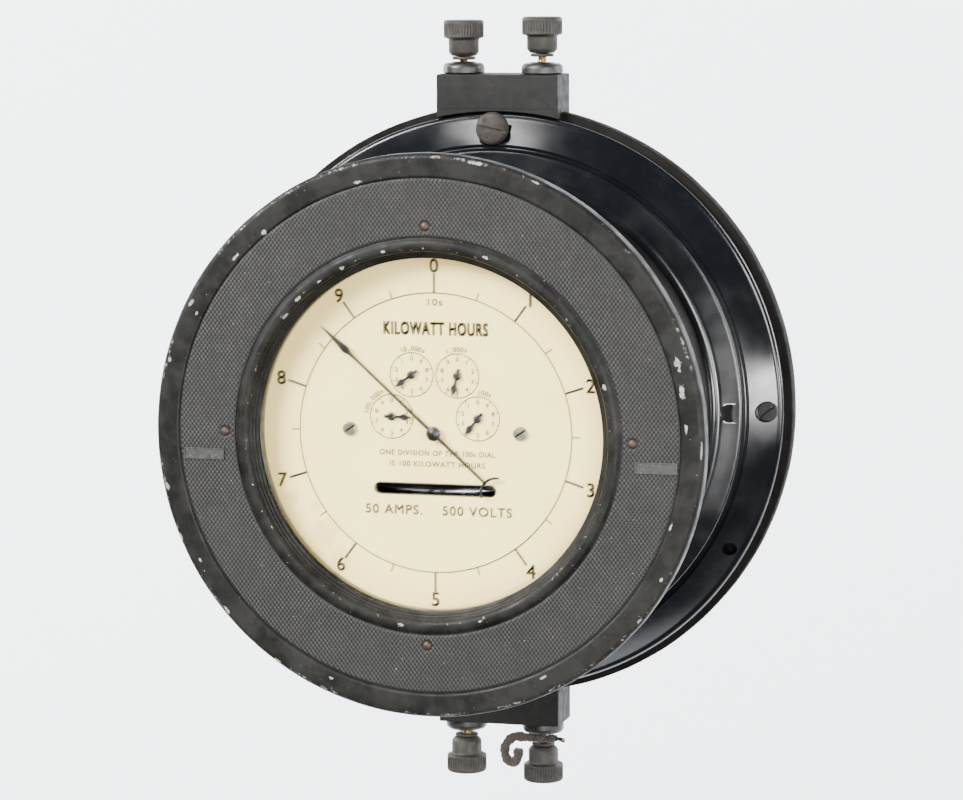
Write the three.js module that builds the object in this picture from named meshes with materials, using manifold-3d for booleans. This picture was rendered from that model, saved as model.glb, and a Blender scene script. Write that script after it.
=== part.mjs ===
// Wall-mounted dial electricity meter, built as an assembly of separate pieces.
// Millimetres, +Z up. The dial faces -Y and the flat back of the case rests on the wall at y = 0,
// so the origin is the middle of that mounting face and the axis of the dial is the Y axis.

import * as THREE from "three";
import { mergeVertices } from "three/addons/utils/BufferGeometryUtils.js";
import Module from "manifold-3d";

const wasm = await Module();
wasm.setup();

// ---------------------------------------------------------------- driving dimensions

const DEPTH = 136.5; // wall to the face of the front ring
const OPENING_RADIUS = 72; // clear opening that shows the dial
const CLEARANCE = 0.3; // gap between pieces that touch
const ROUND_STEPS = 48; // facets round the big turned pieces
const OVERCUT = 1; // how far a cutting tool runs past the face that it opens
const LAP = 1; // how far bodies that become one run into each other

// Front ring, outwards from the opening
const GLASS_SEAT_WIDTH = 6;
const GLASS_THICKNESS = 2.5;
const GLASS_SETBACK = 5.9; // ring face to the front of the glass
const BEZEL_SLOPE = 3.3; // radial run of the stepped bezel down to the glass
const BEZEL_STEP_RUN = 1.15; // first step of the bezel, next to the glass
const BEZEL_STEP_RISE = 2.45;
const BEAD_DROP = 1.4; // height of the bead over the top of the bezel
const BEAD_ROUND = 0.6;
const INNER_BEAD_WIDTH = 5.2;
const FIELD_WIDTH = 24; // sunk field between the two smooth rims
const FIELD_DEPTH = 0.8;
const OUTER_RIM_WIDTH = 9.8;
const RING_THICKNESS = 8.4;
const RIM_ROUND = 2.2;
const RIM_CHAMFER = 0.8; // back edge of the ring
const RETAINER_DEPTH = 5.1;
const RETAINER_OVERLAP = 1.7; // how far the retaining ring laps onto the front ring
const RETAINER_BEVEL = 2;
const PIN_RADIUS = 1.8;
const PIN_PROUD = 0.7;
const PIN_CHAMFER = 0.5;
const PIN_INSET = 5; // pin circle from the inner edge of the seat
const PIN_ANGLES = [90, 180, 270, 0];

// Cover bell
const SHEET = 2.2; // thickness of the drum, seat ring, shoulder and flange
const SEAT_WIDTH = 14; // seat ring inside the drum that the front ring is pinned to
const SHOULDER_WIDTH = 12.9;
const RISER_WIDTH = 2.6;
const RISER_HEIGHT = 4;
const FLANGE_WIDTH = 12.7;
const FLANGE_DROP = 5; // how far the flange face slopes back towards its rim
const FLANGE_RIM = 5.7; // thickness of the rolled rim of the flange
const FLANGE_ROUND = 2.4;
const FLANGE_CHAMFER = 1.2;
const FLANGE_FOOT_LAP = 3; // solid metal of the flange behind the riser
const DRUM_FILLET = 4;

// Case on the wall
const CASE_LIP = 3.2; // case radius beyond the flange
const CASE_DEPTH = 16; // wall to the face that the flange sits on
const CASE_FLOOR = 4;
const CASE_RIM_WIDTH = 16;
const CASE_ROUND = 9; // rounding of the edge next to the wall

// Screws in the flange
const CLAMP_SCREW_CIRCLE_INSET = 6.2; // from the outer edge of the flange
const CLAMP_HEAD_RADIUS = 7;
const CLAMP_HEAD_HEIGHT = 4.4;
const CLAMP_HEAD_DOME = 1.6;
const CLAMP_HEAD_LIFT = 1.2; // free space between the head and the inner edge of the flange
const CLAMP_BOSS_RADIUS = 4.6;
const CLAMP_SLOT_ANGLE = -12;
const CLAMP_SHANK_RADIUS = 2.6;
const CLAMP_REACH = 9; // shank length inside the case rim
const CLAMP_ANGLES = [90, 210]; // the third hole, at -30 degrees, has lost its screw
const EMPTY_HOLE_ANGLE = -30;
const FLUSH_FLANGE_SCREW_RADIUS = 4.3;
const FLUSH_SHOULDER_SCREW_RADIUS = 3.7;
const FLUSH_SCREW_INSET = 1.6; // rim of the shoulder screw to the edge of the shoulder
const FLUSH_EDGE = 0.2;
const SCREW_SLOT_WIDTH = 1.2;
const SCREW_SLOT_DEPTH = 1;
const FLANGE_SCREW_SLOT_ANGLE = 40;
const SHOULDER_SCREW_SLOT_ANGLE = -40;
const SHOULDER_SCREW_SHANK_RADIUS = 2;
const SHOULDER_SCREW_REACH = 3; // shank behind the sheet of the shoulder

// Terminal blocks and binding posts
const BLOCK_WIDTH = 53.4;
const BLOCK_DEPTH = 22.1;
const BLOCK_RISE = 13.1; // height above the edge of the case
const BLOCK_TONGUE = 22; // height of the tongue let into the case
const POST_SPACING = 34.6;
const STUD_RADIUS = 1.9;
const STUD_INNER_LENGTH = 6; // stud inside the case, below the tongue
const BUSHING_RADIUS = 4.2;
const COLLAR_RADIUS = 8.9;
const COLLAR_HEIGHT = 4.6;
const COLLAR_ROUND = 1.4;
const COLLAR_BOSS_RADIUS = 5.6;
const COLLAR_BOSS_HEIGHT = 0.4;
const FOOT_RADIUS = 5;
const FOOT_HEIGHT = 1.3;
const FOOT_CHAMFER = 0.4;
const NECK_RADIUS = 6.5;
const NECK_LENGTH = 7.6;
const NECK_TAPER = 1.5;
const KNOB_RADIUS = 8.6;
const KNOB_HEIGHT = 7.7;
const KNOB_CHAMFER = 0.6;
const KNOB_ROUND = 1.2;
const KNOB_CAP = 2; // solid metal over the blind bore
const WIRE_RADIUS = 1.6;
const WIRE_GAP = 0.4; // free space between the wire and the post
const TOP_LEFT_NUT_RAISE = 0.6; // how far each empty nut is undone
const TOP_RIGHT_NUT_RAISE = 2.1;
const BOTTOM_LEFT_NUT_RAISE = 1.5;

// Rotor
const DIAL_THICKNESS = 1;
const DIAL_EDGE_LAP = 2.5; // dial beyond the opening
const SLOT_HALF_LENGTH = 25.3; // window that shows the edge of the disc
const SLOT_HALF_HEIGHT = 2.1;
const SLOT_HEIGHT = -23;
const DIAL_SCREW_HEAD = 2.9;
const DIAL_SCREW_HEAD_HEIGHT = 1;
const DIAL_SCREW_SLOT_ANGLE = 35;
const DIAL_SCREW_SHANK = 1.3;
const DIAL_SCREW_SPACING = 71.6;
const DIAL_SCREW_HEIGHT = 1;
const DISC_RADIUS = 42;
const DISC_THICKNESS = 1;
const DISC_HEIGHT = -24; // height of the disc from the middle of the dial
const DISC_TO_DIAL = 2; // free space between the disc edge and the back of the dial
const SPINDLE_RADIUS = 1.5;
const DISC_HUB_RADIUS = 4;
const DISC_HUB_HEIGHT = 4;
const DISC_NUT_RADIUS = 3;
const DISC_NUT_HEIGHT = 2;
const BEARING_RADIUS = 4;
const BEARING_PROUD = 8.3; // bearing that stands out of the arm of the frame
const PIVOT_DEPTH = 4; // bore of the bearing
const PIVOT_LENGTH = 3; // spindle inside the bore

// Register: equal gear pairs step down ten to one from each arbor to the next
const PINION_LEAVES = 5;
const WHEEL_TEETH = 50;
const ARBOR_SPACING = 19.2;
const FIRST_ARBOR_ANGLE = 19.5; // first sub-dial above the level of the middle
const ARBOR_RADIUS = 0.75;
const TOOTH_HEIGHT = 0.42; // pitch circle to tooth tip
const TOOTH_CLEARANCE = 0.2;
const WHEEL_THICKNESS = 1;
const WHEEL_HUB_RADIUS = 2.2;
const WHEEL_HUB_PROUD = 0.4;
const PINION_LENGTH = 2;
const PINION_LAP = 0.5; // pinion beyond each face of the wheel that it drives
const ARBOR_PROUD = 0.6; // end of an arbor beyond its pinion
const ARBOR_INSET = 0.4; // end of an arbor inside the face of its plate
const PLANE_PITCH = 2.6; // spacing of the four wheel planes behind the dial
const FIRST_PLANE = 1; // back of the front plate to the nearest wheel
const LAST_PLANE = 1.5; // furthest wheel to the back plate
const CENTRE_PLANE = 1.5; // back plate to the centre wheel
const BRIDGE_GAP = 1.8; // centre wheel to the bridge of the frame
const REGISTER_PLATE_THICKNESS = 1.5;
const REGISTER_SIDE_MARGIN = 6.2; // plate beyond the dial screws
const REGISTER_TOP_MARGIN = 2.5; // plate above the top wheels
const REGISTER_DISC_GAP = 4.5; // plate above the disc
const REGISTER_CORNER_DROP = 14; // width cut from each lower corner
const REGISTER_CORNER_RISE = 11;
const REGISTER_SHOULDER_INSET = 12; // width cut from each upper corner
const REGISTER_SHOULDER_HEIGHT = 10;
const FRAME_POST_SHOULDER = 4.5;
const FRAME_POST_RADIUS = 3;
const FRAME_POST_SPIGOT = 1.5;
const FRAME_POST_GAP = 0.9; // post to the teeth of the wheel beside it
const WORM_WHEEL_TEETH = 40;
const WORM_WHEEL_PITCH_RADIUS = 13;
const WORM_PITCH_RADIUS = 2.5;
const WORM_THREAD_RADIUS = 0.42;
const WORM_LENGTH = 9;
const WORM_RUNOUT = 2; // worm left without a thread, both ends together
const WORM_WHEEL_HUB_PROUD = 2;

// Hands
const HAND_THICKNESS = 0.6;
const HAND_TO_DIAL = 0.5;
const HAND_TO_HAND = 0.9; // sub-dial hands to the main hand
const MAIN_HAND_TIP_GAP = 8.1; // tip of the main hand to the edge of the opening
const MAIN_HAND_TAIL = 28.9;
const MAIN_HAND_HALF_WIDTH = 0.45;
const MAIN_HAND_ANGLE = 137.8; // counter-clockwise from +X, seen from the front
const MAIN_HUB_RADIUS = 2.9;
const MAIN_HUB_PROUD = 0.5;
const SPADE_LENGTH = 14.2; // widest place of the spade to the tip
const SPADE_SHOULDER = 4;
const SPADE_HALF_WIDTH = 1.9;
const CRESCENT_OUTER_RADIUS = 6.8;
const CRESCENT_INNER_RADIUS = 6.3;
const CRESCENT_OUTER_SWEEP = 1.3; // radians either side of the hand
const CRESCENT_INNER_SWEEP = 1.15;
const CRESCENT_SHIFT = 0.5;
const SUB_HAND_LENGTH = 8.4;
const SUB_HAND_TAIL = 3;
const SUB_HAND_TAIL_HALF_WIDTH = 0.5;
const SUB_HAND_NECK = 3.6;
const SUB_HAND_NECK_HALF_WIDTH = 0.35;
const SUB_HAND_SPADE = 5;
const SUB_HAND_SPADE_HALF_WIDTH = 1.1;
const SUB_HUB_RADIUS = 1.7;
const SUB_HUB_PROUD = 0.2;
const HUB_WEB = 0.1; // end of the bore of a hand behind the front face of its blade
const ARBOR_END_GAP = 0.3; // end of an arbor to the end of that bore

// Frame and magnets
const FRAME_WIDTH = 40;
const FRAME_ARM_WIDTH = 22;
const FRAME_BAR = 6;
const BEARING_LAND = 8; // arm of the frame beyond the spindle axis
const BRIDGE_THICKNESS = 2.5;
const BRIDGE_MARGIN = 0.5; // bridge beyond the posts
const CORE_WIDTH = 48;
const CORE_THICKNESS = 16;
const CORE_LIMB = 8;
const CORE_MIDDLE_LIMB = 9.6;
const CORE_YOKE = 8;
const CORE_SETBACK = 24; // spindle axis to the middle of the cores
const VOLTAGE_CORE_HEIGHT = 59;
const SERIES_CORE_HEIGHT = 35;
const SERIES_LIMB_CENTRE = 13.5;
const DISC_AIR_GAP = 2.5; // pole face to disc
const MAGNET_REACH = 32;
const MAGNET_HEIGHT = 40;
const MAGNET_THICKNESS = 18;
const MAGNET_LIMB = 8;
const MAGNET_OVER_DISC = 14; // width of disc between the poles
const VOLTAGE_WINDING = 10;
const VOLTAGE_COIL_LIFT = 7; // foot of the core to the coil
const CURRENT_WINDING = 6;
const CURRENT_COIL_DROP = 5; // pole face to the coil
const COIL_END_GAP = 1;

// ---------------------------------------------------------------- derived places

const glassRadius = OPENING_RADIUS + GLASS_SEAT_WIDTH - CLEARANCE;
const bezelRadius = OPENING_RADIUS + BEZEL_SLOPE;
const fieldInner = bezelRadius + INNER_BEAD_WIDTH;
const fieldOuter = fieldInner + FIELD_WIDTH;
const ringRadius = fieldOuter + OUTER_RIM_WIDTH;
const ringFace = -DEPTH;
const ringBack = ringFace + RING_THICKNESS;
const seatFace = ringFace + GLASS_SETBACK - CLEARANCE;
const retainerRadius = OPENING_RADIUS + GLASS_SEAT_WIDTH + RETAINER_OVERLAP;

const drumFront = ringBack + CLEARANCE;
const seatInner = retainerRadius + CLEARANCE;
const drumInner = seatInner + SEAT_WIDTH;
const drumRadius = drumInner + SHEET;
const shoulderRadius = drumRadius + SHOULDER_WIDTH;
const flangeInner = shoulderRadius + RISER_WIDTH;
const flangeRadius = flangeInner + FLANGE_WIDTH;
const flangeBack = -CASE_DEPTH - CLEARANCE;
const flangeFace = flangeBack - FLANGE_RIM; // at the rim
const flangeInnerFace = flangeFace - FLANGE_DROP;
const shoulderFace = flangeInnerFace - RISER_HEIGHT;
const filletFace = shoulderFace - DRUM_FILLET;
const pinCircle = seatInner + PIN_INSET;

const caseRadius = flangeRadius + CASE_LIP;
const clampCircle = flangeRadius - CLAMP_SCREW_CIRCLE_INSET;
const clampSpotFace = flangeFace - (CLAMP_SCREW_CIRCLE_INSET * FLANGE_DROP) / FLANGE_WIDTH;
const clampHeadBack = flangeInnerFace - CLAMP_HEAD_LIFT;
const shoulderScrewX = shoulderRadius - FLUSH_SHOULDER_SCREW_RADIUS - FLUSH_SCREW_INSET;
const blockTop = caseRadius + BLOCK_RISE;
const blockFoot = flangeRadius + 4 * CLEARANCE;
const tongueFoot = blockFoot - BLOCK_TONGUE;
const postY = -BLOCK_DEPTH / 2;
const clampTip = -CASE_DEPTH + CLAMP_REACH;

const retainerFront = ringFace + GLASS_SETBACK + GLASS_THICKNESS + CLEARANCE;
const dialFace = retainerFront + RETAINER_DEPTH + CLEARANCE;
const dialBack = dialFace + DIAL_THICKNESS;
const spindleY = dialBack + DISC_TO_DIAL + DISC_RADIUS;

const pinionPitch = (ARBOR_SPACING * PINION_LEAVES) / (PINION_LEAVES + WHEEL_TEETH);
const wheelPitch = ARBOR_SPACING - pinionPitch;
const wormWheelX = -(WORM_PITCH_RADIUS + WORM_WHEEL_PITCH_RADIUS);
const wormWheelZ = Math.sqrt(ARBOR_SPACING ** 2 - wormWheelX ** 2);
const frontPlateFront = dialBack + CLEARANCE;
const frontPlateBack = frontPlateFront + REGISTER_PLATE_THICKNESS;
const firstWheelBack = frontPlateBack + FIRST_PLANE;
const registerPlateFront = firstWheelBack + 3 * PLANE_PITCH + WHEEL_THICKNESS + LAST_PLANE;
const registerPlateBack = registerPlateFront + REGISTER_PLATE_THICKNESS;
const centreWheelFront = registerPlateBack + CENTRE_PLANE;
const bridgeFront = centreWheelFront + WHEEL_THICKNESS + BRIDGE_GAP;
const bridgeBack = bridgeFront + BRIDGE_THICKNESS;
const wheelReach = wheelPitch + TOOTH_HEIGHT;

// Arbors of the sub-dials, each one spacing from the one before, left and right sides alike.
const lowArbor = onCircle(ARBOR_SPACING, FIRST_ARBOR_ANGLE);
const highArborX = ARBOR_SPACING / 2;
const highArborZ = lowArbor.z + Math.sqrt(ARBOR_SPACING ** 2 - (lowArbor.x - highArborX) ** 2);
const subArbors = [
  { name: "hundreds", x: lowArbor.x, z: lowArbor.z, hand: 231 },
  { name: "thousands", x: highArborX, z: highArborZ, hand: 255.6 },
  { name: "ten_thousands", x: -highArborX, z: highArborZ, hand: 216.7 },
  { name: "hundred_thousands", x: -lowArbor.x, z: lowArbor.z, hand: -1 },
];
const centre = { x: 0, z: 0 };
const wormWheelArbor = { x: wormWheelX, z: wormWheelZ };
const handBack = dialFace - HAND_TO_DIAL;
const mainHandBack = handBack - HAND_THICKNESS - HAND_TO_HAND;
const dialScrews = [-1, 1].map((side) => ({ x: (side * DIAL_SCREW_SPACING) / 2, z: DIAL_SCREW_HEIGHT }));
// Posts of the frame that carry both register plates: below the last wheel and beside the second.
const framePosts = [besideWheel(subArbors[3], -100), besideWheel(subArbors[1], 45)];
const registerHalfWidth = DIAL_SCREW_SPACING / 2 + REGISTER_SIDE_MARGIN;
const registerTop = highArborZ + wheelReach + REGISTER_TOP_MARGIN;
const registerFoot = DISC_HEIGHT + DISC_THICKNESS / 2 + REGISTER_DISC_GAP;

const coreY = spindleY + CORE_SETBACK;
const voltageCoreFoot = DISC_HEIGHT + DISC_THICKNESS / 2 + DISC_AIR_GAP;
const voltageCoreTop = voltageCoreFoot + VOLTAGE_CORE_HEIGHT;
const seriesCoreTop = DISC_HEIGHT - DISC_THICKNESS / 2 - DISC_AIR_GAP;
const seriesCoreFoot = seriesCoreTop - SERIES_CORE_HEIGHT;
const upperArm = voltageCoreTop + CLEARANCE;
const lowerArm = seriesCoreFoot - CLEARANCE;
const frameBack = -CASE_FLOOR - CLEARANCE;
const pivotBore = SPINDLE_RADIUS + CLEARANCE;
const upperBearingMouth = upperArm - BEARING_PROUD;
const lowerBearingMouth = lowerArm + BEARING_PROUD;
const spindleTop = upperBearingMouth + PIVOT_LENGTH;
const spindleFoot = lowerBearingMouth - PIVOT_LENGTH;

// A place on a circle round the Y axis, at an angle in degrees from +X towards +Z.
function onCircle(radius, degrees) {
  const angle = THREE.MathUtils.degToRad(degrees);
  return { x: radius * Math.cos(angle), z: radius * Math.sin(angle) };
}

// The place of a post of the frame just clear of the teeth of the wheel on an arbor.
function besideWheel(arbor, degrees) {
  const { x, z } = onCircle(wheelReach + FRAME_POST_GAP + FRAME_POST_RADIUS, degrees);
  return { x: arbor.x + x, z: arbor.z + z };
}

// ---------------------------------------------------------------- materials

const paint = (color, roughness) => ({ color, roughness, metalness: 0.1 });
const metal = (color, roughness) => ({ color, roughness, metalness: 1 });
const JAPAN = paint(0x15181c, 0.12);
const CAST_BLACK = paint(0x33332f, 0.62);
const CASE_BROWN = paint(0x2b2622, 0.75);
const BLOCK_GREY = paint(0x3a3a38, 0.6);
const EBONITE = { color: 0x2a2825, roughness: 0.4, metalness: 0 };
const BRASS = metal(0xa8884c, 0.35);
const BROWNED_BRASS = metal(0x4d4538, 0.55);
const COPPER = metal(0x8a5238, 0.5);
const STEEL = metal(0x8b8f92, 0.35);
const RUSTY_STEEL = metal(0x5a4638, 0.7);
const NICKEL = metal(0xb8b4a0, 0.3);
const ALUMINIUM = metal(0xc6c8ca, 0.3);
const MAGNET_STEEL = metal(0x3c3f44, 0.5);
const LAMINATIONS = metal(0x5b5c5e, 0.6);
const COIL_COTTON = { color: 0x4f3a22, roughness: 0.95, metalness: 0 };
const CREAM_ENAMEL = { color: 0xe6dab8, roughness: 0.55, metalness: 0 };
const BLACK_ENAMEL = { color: 0x14120f, roughness: 0.4, metalness: 0 };
const GLASS = { color: 0xffffff, roughness: 0.03, metalness: 0, transparent: true, opacity: 0.12 };
const OLD_CLOTH = { color: 0x4a3a28, roughness: 0.95, metalness: 0 };

// ---------------------------------------------------------------- solid helpers

const meter = new THREE.Group();

function addMesh(name, geometry, look, parent = meter) {
  const mesh = new THREE.Mesh(geometry, new THREE.MeshStandardMaterial(look));
  mesh.name = name;
  parent.add(mesh);
  return mesh;
}

function toSolid(geometry) {
  const bare = geometry.clone();
  bare.deleteAttribute("normal");
  bare.deleteAttribute("uv");
  const merged = mergeVertices(bare, 1e-4);
  return new wasm.Manifold(
    new wasm.Mesh({
      numProp: 3,
      vertProperties: new Float32Array(merged.attributes.position.array),
      triVerts: new Uint32Array(merged.index.array),
    }),
  );
}

function toGeometry(solid) {
  const mesh = solid.getMesh();
  const geometry = new THREE.BufferGeometry();
  geometry.setAttribute("position", new THREE.BufferAttribute(mesh.vertProperties, 3));
  geometry.setIndex(new THREE.BufferAttribute(mesh.triVerts, 1));
  geometry.computeVertexNormals();
  return geometry;
}

function join(...geometries) {
  return toGeometry(geometries.map(toSolid).reduce((whole, piece) => whole.add(piece)));
}

function cut(geometry, ...tools) {
  return toGeometry(tools.map(toSolid).reduce((whole, tool) => whole.subtract(tool), toSolid(geometry)));
}

// Turns a closed outline of [radius, height] points round the Y axis, listed either way round.
function turned(points, steps = ROUND_STEPS) {
  let area = 0;
  points.forEach(([r, y], i) => {
    const [nextR, nextY] = points[(i + 1) % points.length];
    area += r * nextY - nextR * y;
  });
  const ordered = area > 0 ? [...points] : [...points].reverse();
  const onAxis = ordered.findIndex(([r], i) => r === 0 && ordered.at(i - 1)[0] === 0);
  const closed = [...ordered, ordered[0]];
  const fromAxis = [...ordered.slice(onAxis), ...ordered.slice(0, onAxis)];
  const profile = onAxis < 0 ? closed : fromAxis;
  return new THREE.LatheGeometry(
    profile.map(([r, y]) => new THREE.Vector2(r, y)),
    steps,
  );
}

// The same about the Z axis.
function turnedUpright(points, steps) {
  return turned(points, steps).rotateX(Math.PI / 2);
}

// Points of a circular arc in [radius, height] space, from one angle to another in degrees.
function arc(centreR, centreY, radius, from, to, steps) {
  return Array.from({ length: steps + 1 }, (_, i) => {
    const angle = THREE.MathUtils.degToRad(from + ((to - from) * i) / steps);
    return [centreR + radius * Math.cos(angle), centreY + radius * Math.sin(angle)];
  });
}

function box(x0, x1, y0, y1, z0, z1) {
  const geometry = new THREE.BoxGeometry(x1 - x0, y1 - y0, z1 - z0);
  return geometry.translate((x0 + x1) / 2, (y0 + y1) / 2, (z0 + z1) / 2);
}

// A cylinder along Y from one y to another.
function rod(radius, x, z, y0, y1, steps = 12) {
  const geometry = new THREE.CylinderGeometry(radius, radius, Math.abs(y1 - y0), steps);
  return geometry.translate(x, (y0 + y1) / 2, z);
}

// A cylinder along Z from one height to another.
function upright(radius, x, y, z0, z1, steps = 12) {
  const geometry = new THREE.CylinderGeometry(radius, radius, Math.abs(z1 - z0), steps);
  return geometry.rotateX(Math.PI / 2).translate(x, y, (z0 + z1) / 2);
}

// An outline drawn as seen from the front, X right and Z up, with its back at y and its face nearer.
function plate(shape, thickness, back, curveSegments = 12) {
  const options = { depth: thickness, bevelEnabled: false, curveSegments };
  return new THREE.ExtrudeGeometry(shape, options).rotateX(Math.PI / 2).translate(0, back, 0);
}

function outline(points) {
  return new THREE.Shape(points.map(([x, z]) => new THREE.Vector2(x, z)));
}

// ---------------------------------------------------------------- case and terminal blocks

function backCase() {
  const body = turned([
    [0, 0],
    ...arc(caseRadius - CASE_ROUND, -CASE_ROUND, CASE_ROUND, 90, 0, 3),
    [caseRadius, -CASE_DEPTH],
    [caseRadius - CASE_RIM_WIDTH, -CASE_DEPTH],
    [caseRadius - CASE_RIM_WIDTH, -CASE_FLOOR],
    [0, -CASE_FLOOR],
  ]);
  const notchHalf = BLOCK_WIDTH / 2 + CLEARANCE;
  const notchFoot = tongueFoot - CLEARANCE;
  const notches = [
    box(-notchHalf, notchHalf, -BLOCK_DEPTH, CLEARANCE, notchFoot, blockTop),
    box(-notchHalf, notchHalf, -BLOCK_DEPTH, CLEARANCE, -blockTop, -notchFoot),
  ];
  const screwHoles = [...CLAMP_ANGLES, EMPTY_HOLE_ANGLE, 0]
    .filter((degrees) => degrees !== 90)
    .map((degrees) => {
      const { x, z } = onCircle(clampCircle, degrees);
      return rod(CLAMP_SHANK_RADIUS + CLEARANCE, x, z, -CASE_DEPTH - OVERCUT, clampTip + CLEARANCE);
    });
  return cut(body, ...notches, ...screwHoles);
}

// The upper block; its tongue passes behind the flange and lies in the notch of the case.
function terminalBlock() {
  const half = BLOCK_WIDTH / 2;
  const body = join(
    box(-half, half, -BLOCK_DEPTH, 0, blockFoot, blockTop),
    box(-half, half, -CASE_DEPTH, 0, tongueFoot, blockFoot + LAP),
  );
  const bores = [-1, 1].map((side) => {
    const x = (side * POST_SPACING) / 2;
    return upright(BUSHING_RADIUS + CLEARANCE, x, postY, tongueFoot - OVERCUT, blockTop + OVERCUT);
  });
  const clampHole = rod(
    CLAMP_SHANK_RADIUS + CLEARANCE,
    0,
    clampCircle,
    -CASE_DEPTH - OVERCUT,
    clampTip + CLEARANCE,
  );
  return cut(body, ...bores, clampHole);
}

addMesh("back_case", backCase(), CASE_BROWN);
addMesh("top_terminal_block", terminalBlock(), BLOCK_GREY);
const bottomBlock = addMesh("bottom_terminal_block", terminalBlock(), BLOCK_GREY);
bottomBlock.rotation.y = Math.PI;

// ---------------------------------------------------------------- binding posts

// Each post is drawn upright with z = 0 on the face of its block.
const collarTop = COLLAR_HEIGHT + COLLAR_BOSS_HEIGHT;

function postBushing() {
  const shankFoot = tongueFoot - blockTop;
  const bore = STUD_RADIUS + CLEARANCE;
  return turnedUpright(
    [
      [bore, shankFoot],
      [BUSHING_RADIUS, shankFoot],
      [BUSHING_RADIUS, CLEARANCE],
      [COLLAR_RADIUS, CLEARANCE],
      ...arc(COLLAR_RADIUS - COLLAR_ROUND, COLLAR_HEIGHT - COLLAR_ROUND, COLLAR_ROUND, 0, 90, 2),
      [COLLAR_BOSS_RADIUS, COLLAR_HEIGHT],
      [bore, collarTop],
    ],
    18,
  );
}

const footFloor = collarTop + CLEARANCE;
const nutFloor = footFloor + FOOT_HEIGHT + CLEARANCE;
const studTop = nutFloor + NECK_LENGTH + KNOB_HEIGHT - KNOB_CAP - CLEARANCE;

function postStud() {
  return upright(STUD_RADIUS, 0, 0, tongueFoot - blockTop - STUD_INNER_LENGTH, studTop, 12);
}

function clampFoot() {
  const bore = STUD_RADIUS + CLEARANCE;
  return turnedUpright(
    [
      [bore, footFloor],
      [FOOT_RADIUS - FOOT_CHAMFER, footFloor],
      [FOOT_RADIUS, footFloor + FOOT_CHAMFER],
      [FOOT_RADIUS, footFloor + FOOT_HEIGHT],
      [bore, footFloor + FOOT_HEIGHT],
    ],
    16,
  );
}

function thumbNut() {
  const bore = STUD_RADIUS + CLEARANCE;
  const knobFloor = nutFloor + NECK_LENGTH;
  const knobTop = knobFloor + KNOB_HEIGHT;
  return turnedUpright(
    [
      [bore, nutFloor],
      [FOOT_RADIUS, nutFloor],
      [NECK_RADIUS, nutFloor + NECK_TAPER],
      [NECK_RADIUS, knobFloor],
      [KNOB_RADIUS - KNOB_CHAMFER, knobFloor],
      [KNOB_RADIUS, knobFloor + KNOB_CHAMFER],
      ...arc(KNOB_RADIUS - KNOB_ROUND, knobTop - KNOB_ROUND, KNOB_ROUND, 0, 90, 2),
      [0, knobTop],
      [0, knobTop - KNOB_CAP],
      [bore, knobTop - KNOB_CAP],
    ],
    20,
  );
}

// The bottom right nut stands off by the wire that it holds.
const wireRaise = 2 * WIRE_RADIUS + WIRE_GAP + CLEARANCE;
const posts = [
  { name: "top_left", x: -POST_SPACING / 2, up: true, raise: TOP_LEFT_NUT_RAISE },
  { name: "top_right", x: POST_SPACING / 2, up: true, raise: TOP_RIGHT_NUT_RAISE },
  { name: "bottom_left", x: -POST_SPACING / 2, up: false, raise: BOTTOM_LEFT_NUT_RAISE },
  { name: "bottom_right", x: POST_SPACING / 2, up: false, raise: wireRaise },
];
posts.forEach(({ name, x, up, raise }) => {
  const post = new THREE.Group();
  post.position.set(x, postY, up ? blockTop : -blockTop);
  post.rotation.y = up ? 0 : Math.PI;
  meter.add(post);
  addMesh(`post_bushing_${name}`, postBushing(), EBONITE, post);
  addMesh(`post_stud_${name}`, postStud(), BRASS, post);
  addMesh(`clamp_foot_${name}`, clampFoot(), BROWNED_BRASS, post).position.z = raise;
  addMesh(`thumb_nut_${name}`, thumbNut(), BROWNED_BRASS, post).position.z = raise;
});

// A short end of old cloth-covered wire, still clamped under the bottom right nut: an eye at the
// left, half a turn round the stud and a loose tail at the right.
function wireRemnant() {
  const x = POST_SPACING / 2;
  const z = -blockTop - collarTop - WIRE_GAP - WIRE_RADIUS;
  const hug = STUD_RADIUS + WIRE_RADIUS + WIRE_GAP;
  const bend = [140, 90, 40].map((degrees) => {
    const angle = THREE.MathUtils.degToRad(degrees);
    return [x + hug * Math.cos(angle), postY - hug * Math.sin(angle), z];
  });
  const route = [
    [x - 9.4, postY - 7.6, z - 4.6],
    [x - 9.8, postY - 6.6, z - 8.2],
    [x - 12.6, postY - 5.6, z - 11],
    [x - 15.6, postY - 5.2, z - 8.6],
    [x - 15.8, postY - 4.6, z - 3.6],
    [x - 12.4, postY - 3.4, z],
    [x - 7.4, postY - 2.6, z],
    ...bend,
    [x + 6.6, postY - 1.6, z],
    [x + 10.2, postY - 3, z - 0.6],
  ];
  const path = new THREE.CatmullRomCurve3(route.map((p) => new THREE.Vector3(...p)));
  const section = new THREE.Shape();
  for (let i = 0; i < 8; i += 1) {
    const angle = (i * Math.PI) / 4;
    const corner = [WIRE_RADIUS * Math.cos(angle), WIRE_RADIUS * Math.sin(angle)];
    if (i === 0) section.moveTo(...corner);
    else section.lineTo(...corner);
  }
  return new THREE.ExtrudeGeometry(section, { steps: 28, extrudePath: path, curveSegments: 1 });
}

addMesh("wire_remnant", wireRemnant(), OLD_CLOTH);

// ---------------------------------------------------------------- cover

const cover = new THREE.Group();
meter.add(cover);

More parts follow.
